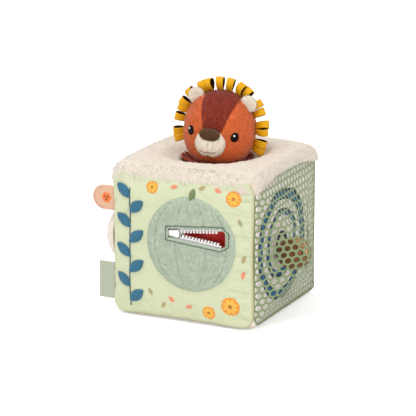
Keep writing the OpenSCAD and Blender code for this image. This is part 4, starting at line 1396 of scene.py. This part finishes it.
def ear_at(side):
    """Places the ear at one side, a flat bun with a dished front."""
    reach = head_reach(math.pi / 2 - ear_angle) + 2.6

    def on_ear(turn, lift):
        r, rise = bun(lift, ear_r, ear_thick)
        dish = ear_dish * (1 - (r / ear_r) ** 2) if rise > 0 else 0
        x = side * reach * math.sin(ear_angle) + r * math.cos(turn)
        z = reach * math.cos(ear_angle) + r * math.sin(turn)
        return head_turn @ Vector((x, ear_y - rise + dish, z))

    return on_ear


def press_face(piece):
    """Gives a piece of the face its own copy of its mesh."""
    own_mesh(piece)


def on_face(side):
    """Places a patch on the cheek round the eye at one side."""
    def on_cheek(u, v, out=0.0):
        turn = side * eye_turn - math.pi / 2 + u / eye_side_r
        return tuple(head_turn @ head_place(turn, eye_lift + v / eye_up_r, out + eye_off))

    return on_cheek


cream_fuzz = (knitted_back("cream face plush ground", "#f0e4d1", "#dfd1ba", 1.4),
              pile_fibre("cream face plush pile", "#f5ead9", "#e5d7c2", 9.0))
nose_fuzz = (knitted_back("dark brown plush ground", "#5c3d1f", "#40280f", 1.4),
             pile_fibre("dark brown plush pile", "#6c4826", "#472b12", 6.0, 0.1))
face_parts = {
    "muzzle": (muzzle_at, cream_fuzz, "lion_cream", 2200, 76, press_face),
    "nose": (nose_at, nose_fuzz, "lion_nose", 900, 74, press_face),
    "ear_left": (ear_at(-1), cream_fuzz, "lion_cream", 900, 78, squeeze_head),
    "ear_right": (ear_at(1), cream_fuzz, "lion_cream", 900, 79, squeeze_head),
}
for node, (place, fuzz, slot, tufts, seed, give) in face_parts.items():
    piece = make(node + "_plush", *grid_ball(56, 26, place), *fuzz)
    grow_pile(piece, tufts, 1.1, 0.7, (0, 0, -0.6), seed)
    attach(piece, "lion_head")
    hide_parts(node)
    give(piece)

eyes = [round_patch(0, 0, lambda turn: 4.3 + 0.7 * abs(math.sin(turn)), 0.9, on_face(side))
        for side in (-1, 1)]
glints = [round_patch(-1.2, 1.7, lambda _: 1.2, 1.3, on_face(side)) for side in (-1, 1)]
mouth_path = [muzzle_at(math.radians(270 + a), math.radians(50 - 0.004 * a * a), 0.35)
              for a in range(-50, 51, 5)]
black_rayon = satin_stitch("black rayon embroidery", "#0d0706", 0.0, 0.08)
face_sewing = {
    "eye_embroidery": (join_parts(eyes), black_rayon, squeeze_head),
    "eye_glints": (join_parts(glints), satin_stitch("white rayon embroidery", "#f6f2ea"), squeeze_head),
    "mouth_stitch": (tube(mouth_path, 0.45), thread("brown thread", "#8e4a35"), press_face),
}
for name, (shape, made, give) in face_sewing.items():
    piece = make(name, *shape, made)
    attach(piece, "lion_head")
    if name == "eye_embroidery":
        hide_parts("eye_patches")
    give(piece)

# Lion's mane
# Eighteen loops of grosgrain ribbon, mustard outside and dark brown inside, are caught in the seam round
# the head. Each is bent a little its own way.
loop_count, ribbon_wide, ribbon_thick, loop_out, loop_bulge = 18, 7.5, 0.6, 14, 12
mane_low, mane_twist, tucked, loop_keep, pinch = -22, 8, 8, 0.15, 0.28
loop_steps, loop_across = 33, 5
backwards = Vector((0, 1, 0))


def grosgrain(name, colour, shade):
    # Grosgrain ribbon is closely woven from slightly uneven yarn and has a dull gloss
    made = shader(name, Roughness=0.6, Specular_IOR_Level=0.2, Sheen_Weight=0.05)
    fine = {"Vector": on_object(made), "Scale": per_mm(1.0), "Detail": 3.0}
    yarn = add(made, "TexNoise", fine).outputs["Fac"]
    return mottle(made, yarn, linear(shade), linear(colour), 0.3, 0.2)


mustard = grosgrain("mustard grosgrain ribbon", "#e8ac08", "#c68a04")
dark_inside = grosgrain("dark brown grosgrain ribbon", "#3b160f", "#260c08")
bend = np.random.default_rng(17)
for i in range(loop_count):
    angle = math.radians(mane_low + i * (180 - 2 * mane_low) / (loop_count - 1) + bend.uniform(-3.5, 3.5))
    twist = math.radians(mane_twist + bend.uniform(-18, 18))
    reach = loop_out * bend.uniform(0.92, 1.06)
    bulge = loop_bulge * bend.uniform(0.85, 1.15)
    out = Vector((math.cos(angle), 0, math.sin(angle)))
    along = Vector((-math.sin(angle), 0, math.cos(angle)))
    wide = along * math.cos(twist) + backwards * math.sin(twist)
    deep = backwards * math.cos(twist) - along * math.sin(twist)
    root = out * (head_reach(min(angle, math.pi - angle)) - 0.6) + backwards * seam_back

    def loop_place(edge, t):
        """A point of the loop at a place across the ribbon and a turn along it."""
        away = out * reach / 2 * (1 - math.cos(t)) + deep * bulge / 2 * math.sin(t) * math.sin(t / 2) ** 0.9
        spread = wide * ribbon_wide * edge * (1 - pinch + pinch * math.sin(t / 2))
        return tuple(head_turn @ (root + away + spread))

    loop_grid = sheet_grid(evenly(loop_across, -0.5, 0.5), evenly(loop_steps, 0, math.tau), loop_place)
    loop = make(f"mane_ribbon_{i + 1}", *loop_grid, mustard, dark_inside)
    settle(thicken(loop, ribbon_thick, material_offset=1))
    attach(loop, "lion_head")
    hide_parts(f"mane_loop_{i + 1}")
    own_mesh(loop)

# Floor, light and camera
# A plain pale floor under soft studio light: a broad key lamp from the upper left, a weaker fill from the
# right, and an even white room. The camera looks from the right and a little from above.
scene = bpy.context.scene
floor_reach, floor_glow, room_light = 4000, 0.28, 0.8
lamps = {"key": ((-350, -650, 1500), 1200, 13), "fill": ((1300, -700, 800), 1000, 6)}
target = Vector((-9.7, 0, 95.2)) * MM
azimuth, elevation, distance = math.radians(25.7), math.radians(15.3), 2.5


def glow(made, socket, plain, more):
    """Sets a strength that is plain as light and has more where it is seen, also in a reflection or
    through glass."""
    rays = add(made, "LightPath").outputs
    mirrored = add(made, "Math", {0: rays["Is Glossy Ray"], 1: rays["Is Transmission Ray"]}).outputs["Value"]
    seen = add(made, "Math", {0: rays["Is Camera Ray"], 1: mirrored}, use_clamp=True).outputs["Value"]
    strength = add(made, "Math", {0: seen, 1: more, 2: plain}, operation="MULTIPLY_ADD").outputs["Value"]
    made.node_tree.links.new(strength, socket)


def place_in_scene(name, data, location, way):
    """Puts a lamp or camera in the scene, looking along a way."""
    holder = bpy.data.objects.new(name, data)
    holder.location = location
    holder.rotation_euler = way.to_track_quat("-Z", "Y").to_euler()
    scene.collection.objects.link(holder)
    return holder


white = linear("#ffffff")
studio_floor = shader("pale studio floor", Base_Color=white, Roughness=0.9, Emission_Color=white)
glow(studio_floor, principled(studio_floor)["Emission Strength"], 0, floor_glow)
floor_corners = [(x * floor_reach, y * floor_reach, 0) for x, y in ((-1, -1), (1, -1), (1, 1), (-1, 1))]
floor = make("floor", floor_corners, [(0, 1, 2, 3)], studio_floor)
world = bpy.data.worlds.new("studio")
world.use_nodes = True
sky = world.node_tree.nodes["Background"].inputs
sky["Color"].default_value = white
glow(world, sky["Strength"], room_light, 1 - room_light)
scene.world = world
for name, (place, size, power) in lamps.items():
    lamp = bpy.data.lights.new(name, "AREA")
    lamp.size, lamp.energy = size * MM, power
    place_in_scene(name, lamp, Vector(place) * MM, target - Vector(place) * MM)
back_way = Vector(around(math.cos(elevation), azimuth - math.pi / 2, math.sin(elevation)))
lens = bpy.data.cameras.new("camera")
lens.lens, lens.sensor_width = 217, 36
scene.camera = place_in_scene("camera", lens, target + back_way * distance, -back_way)
scene.view_settings.view_transform = "Standard"
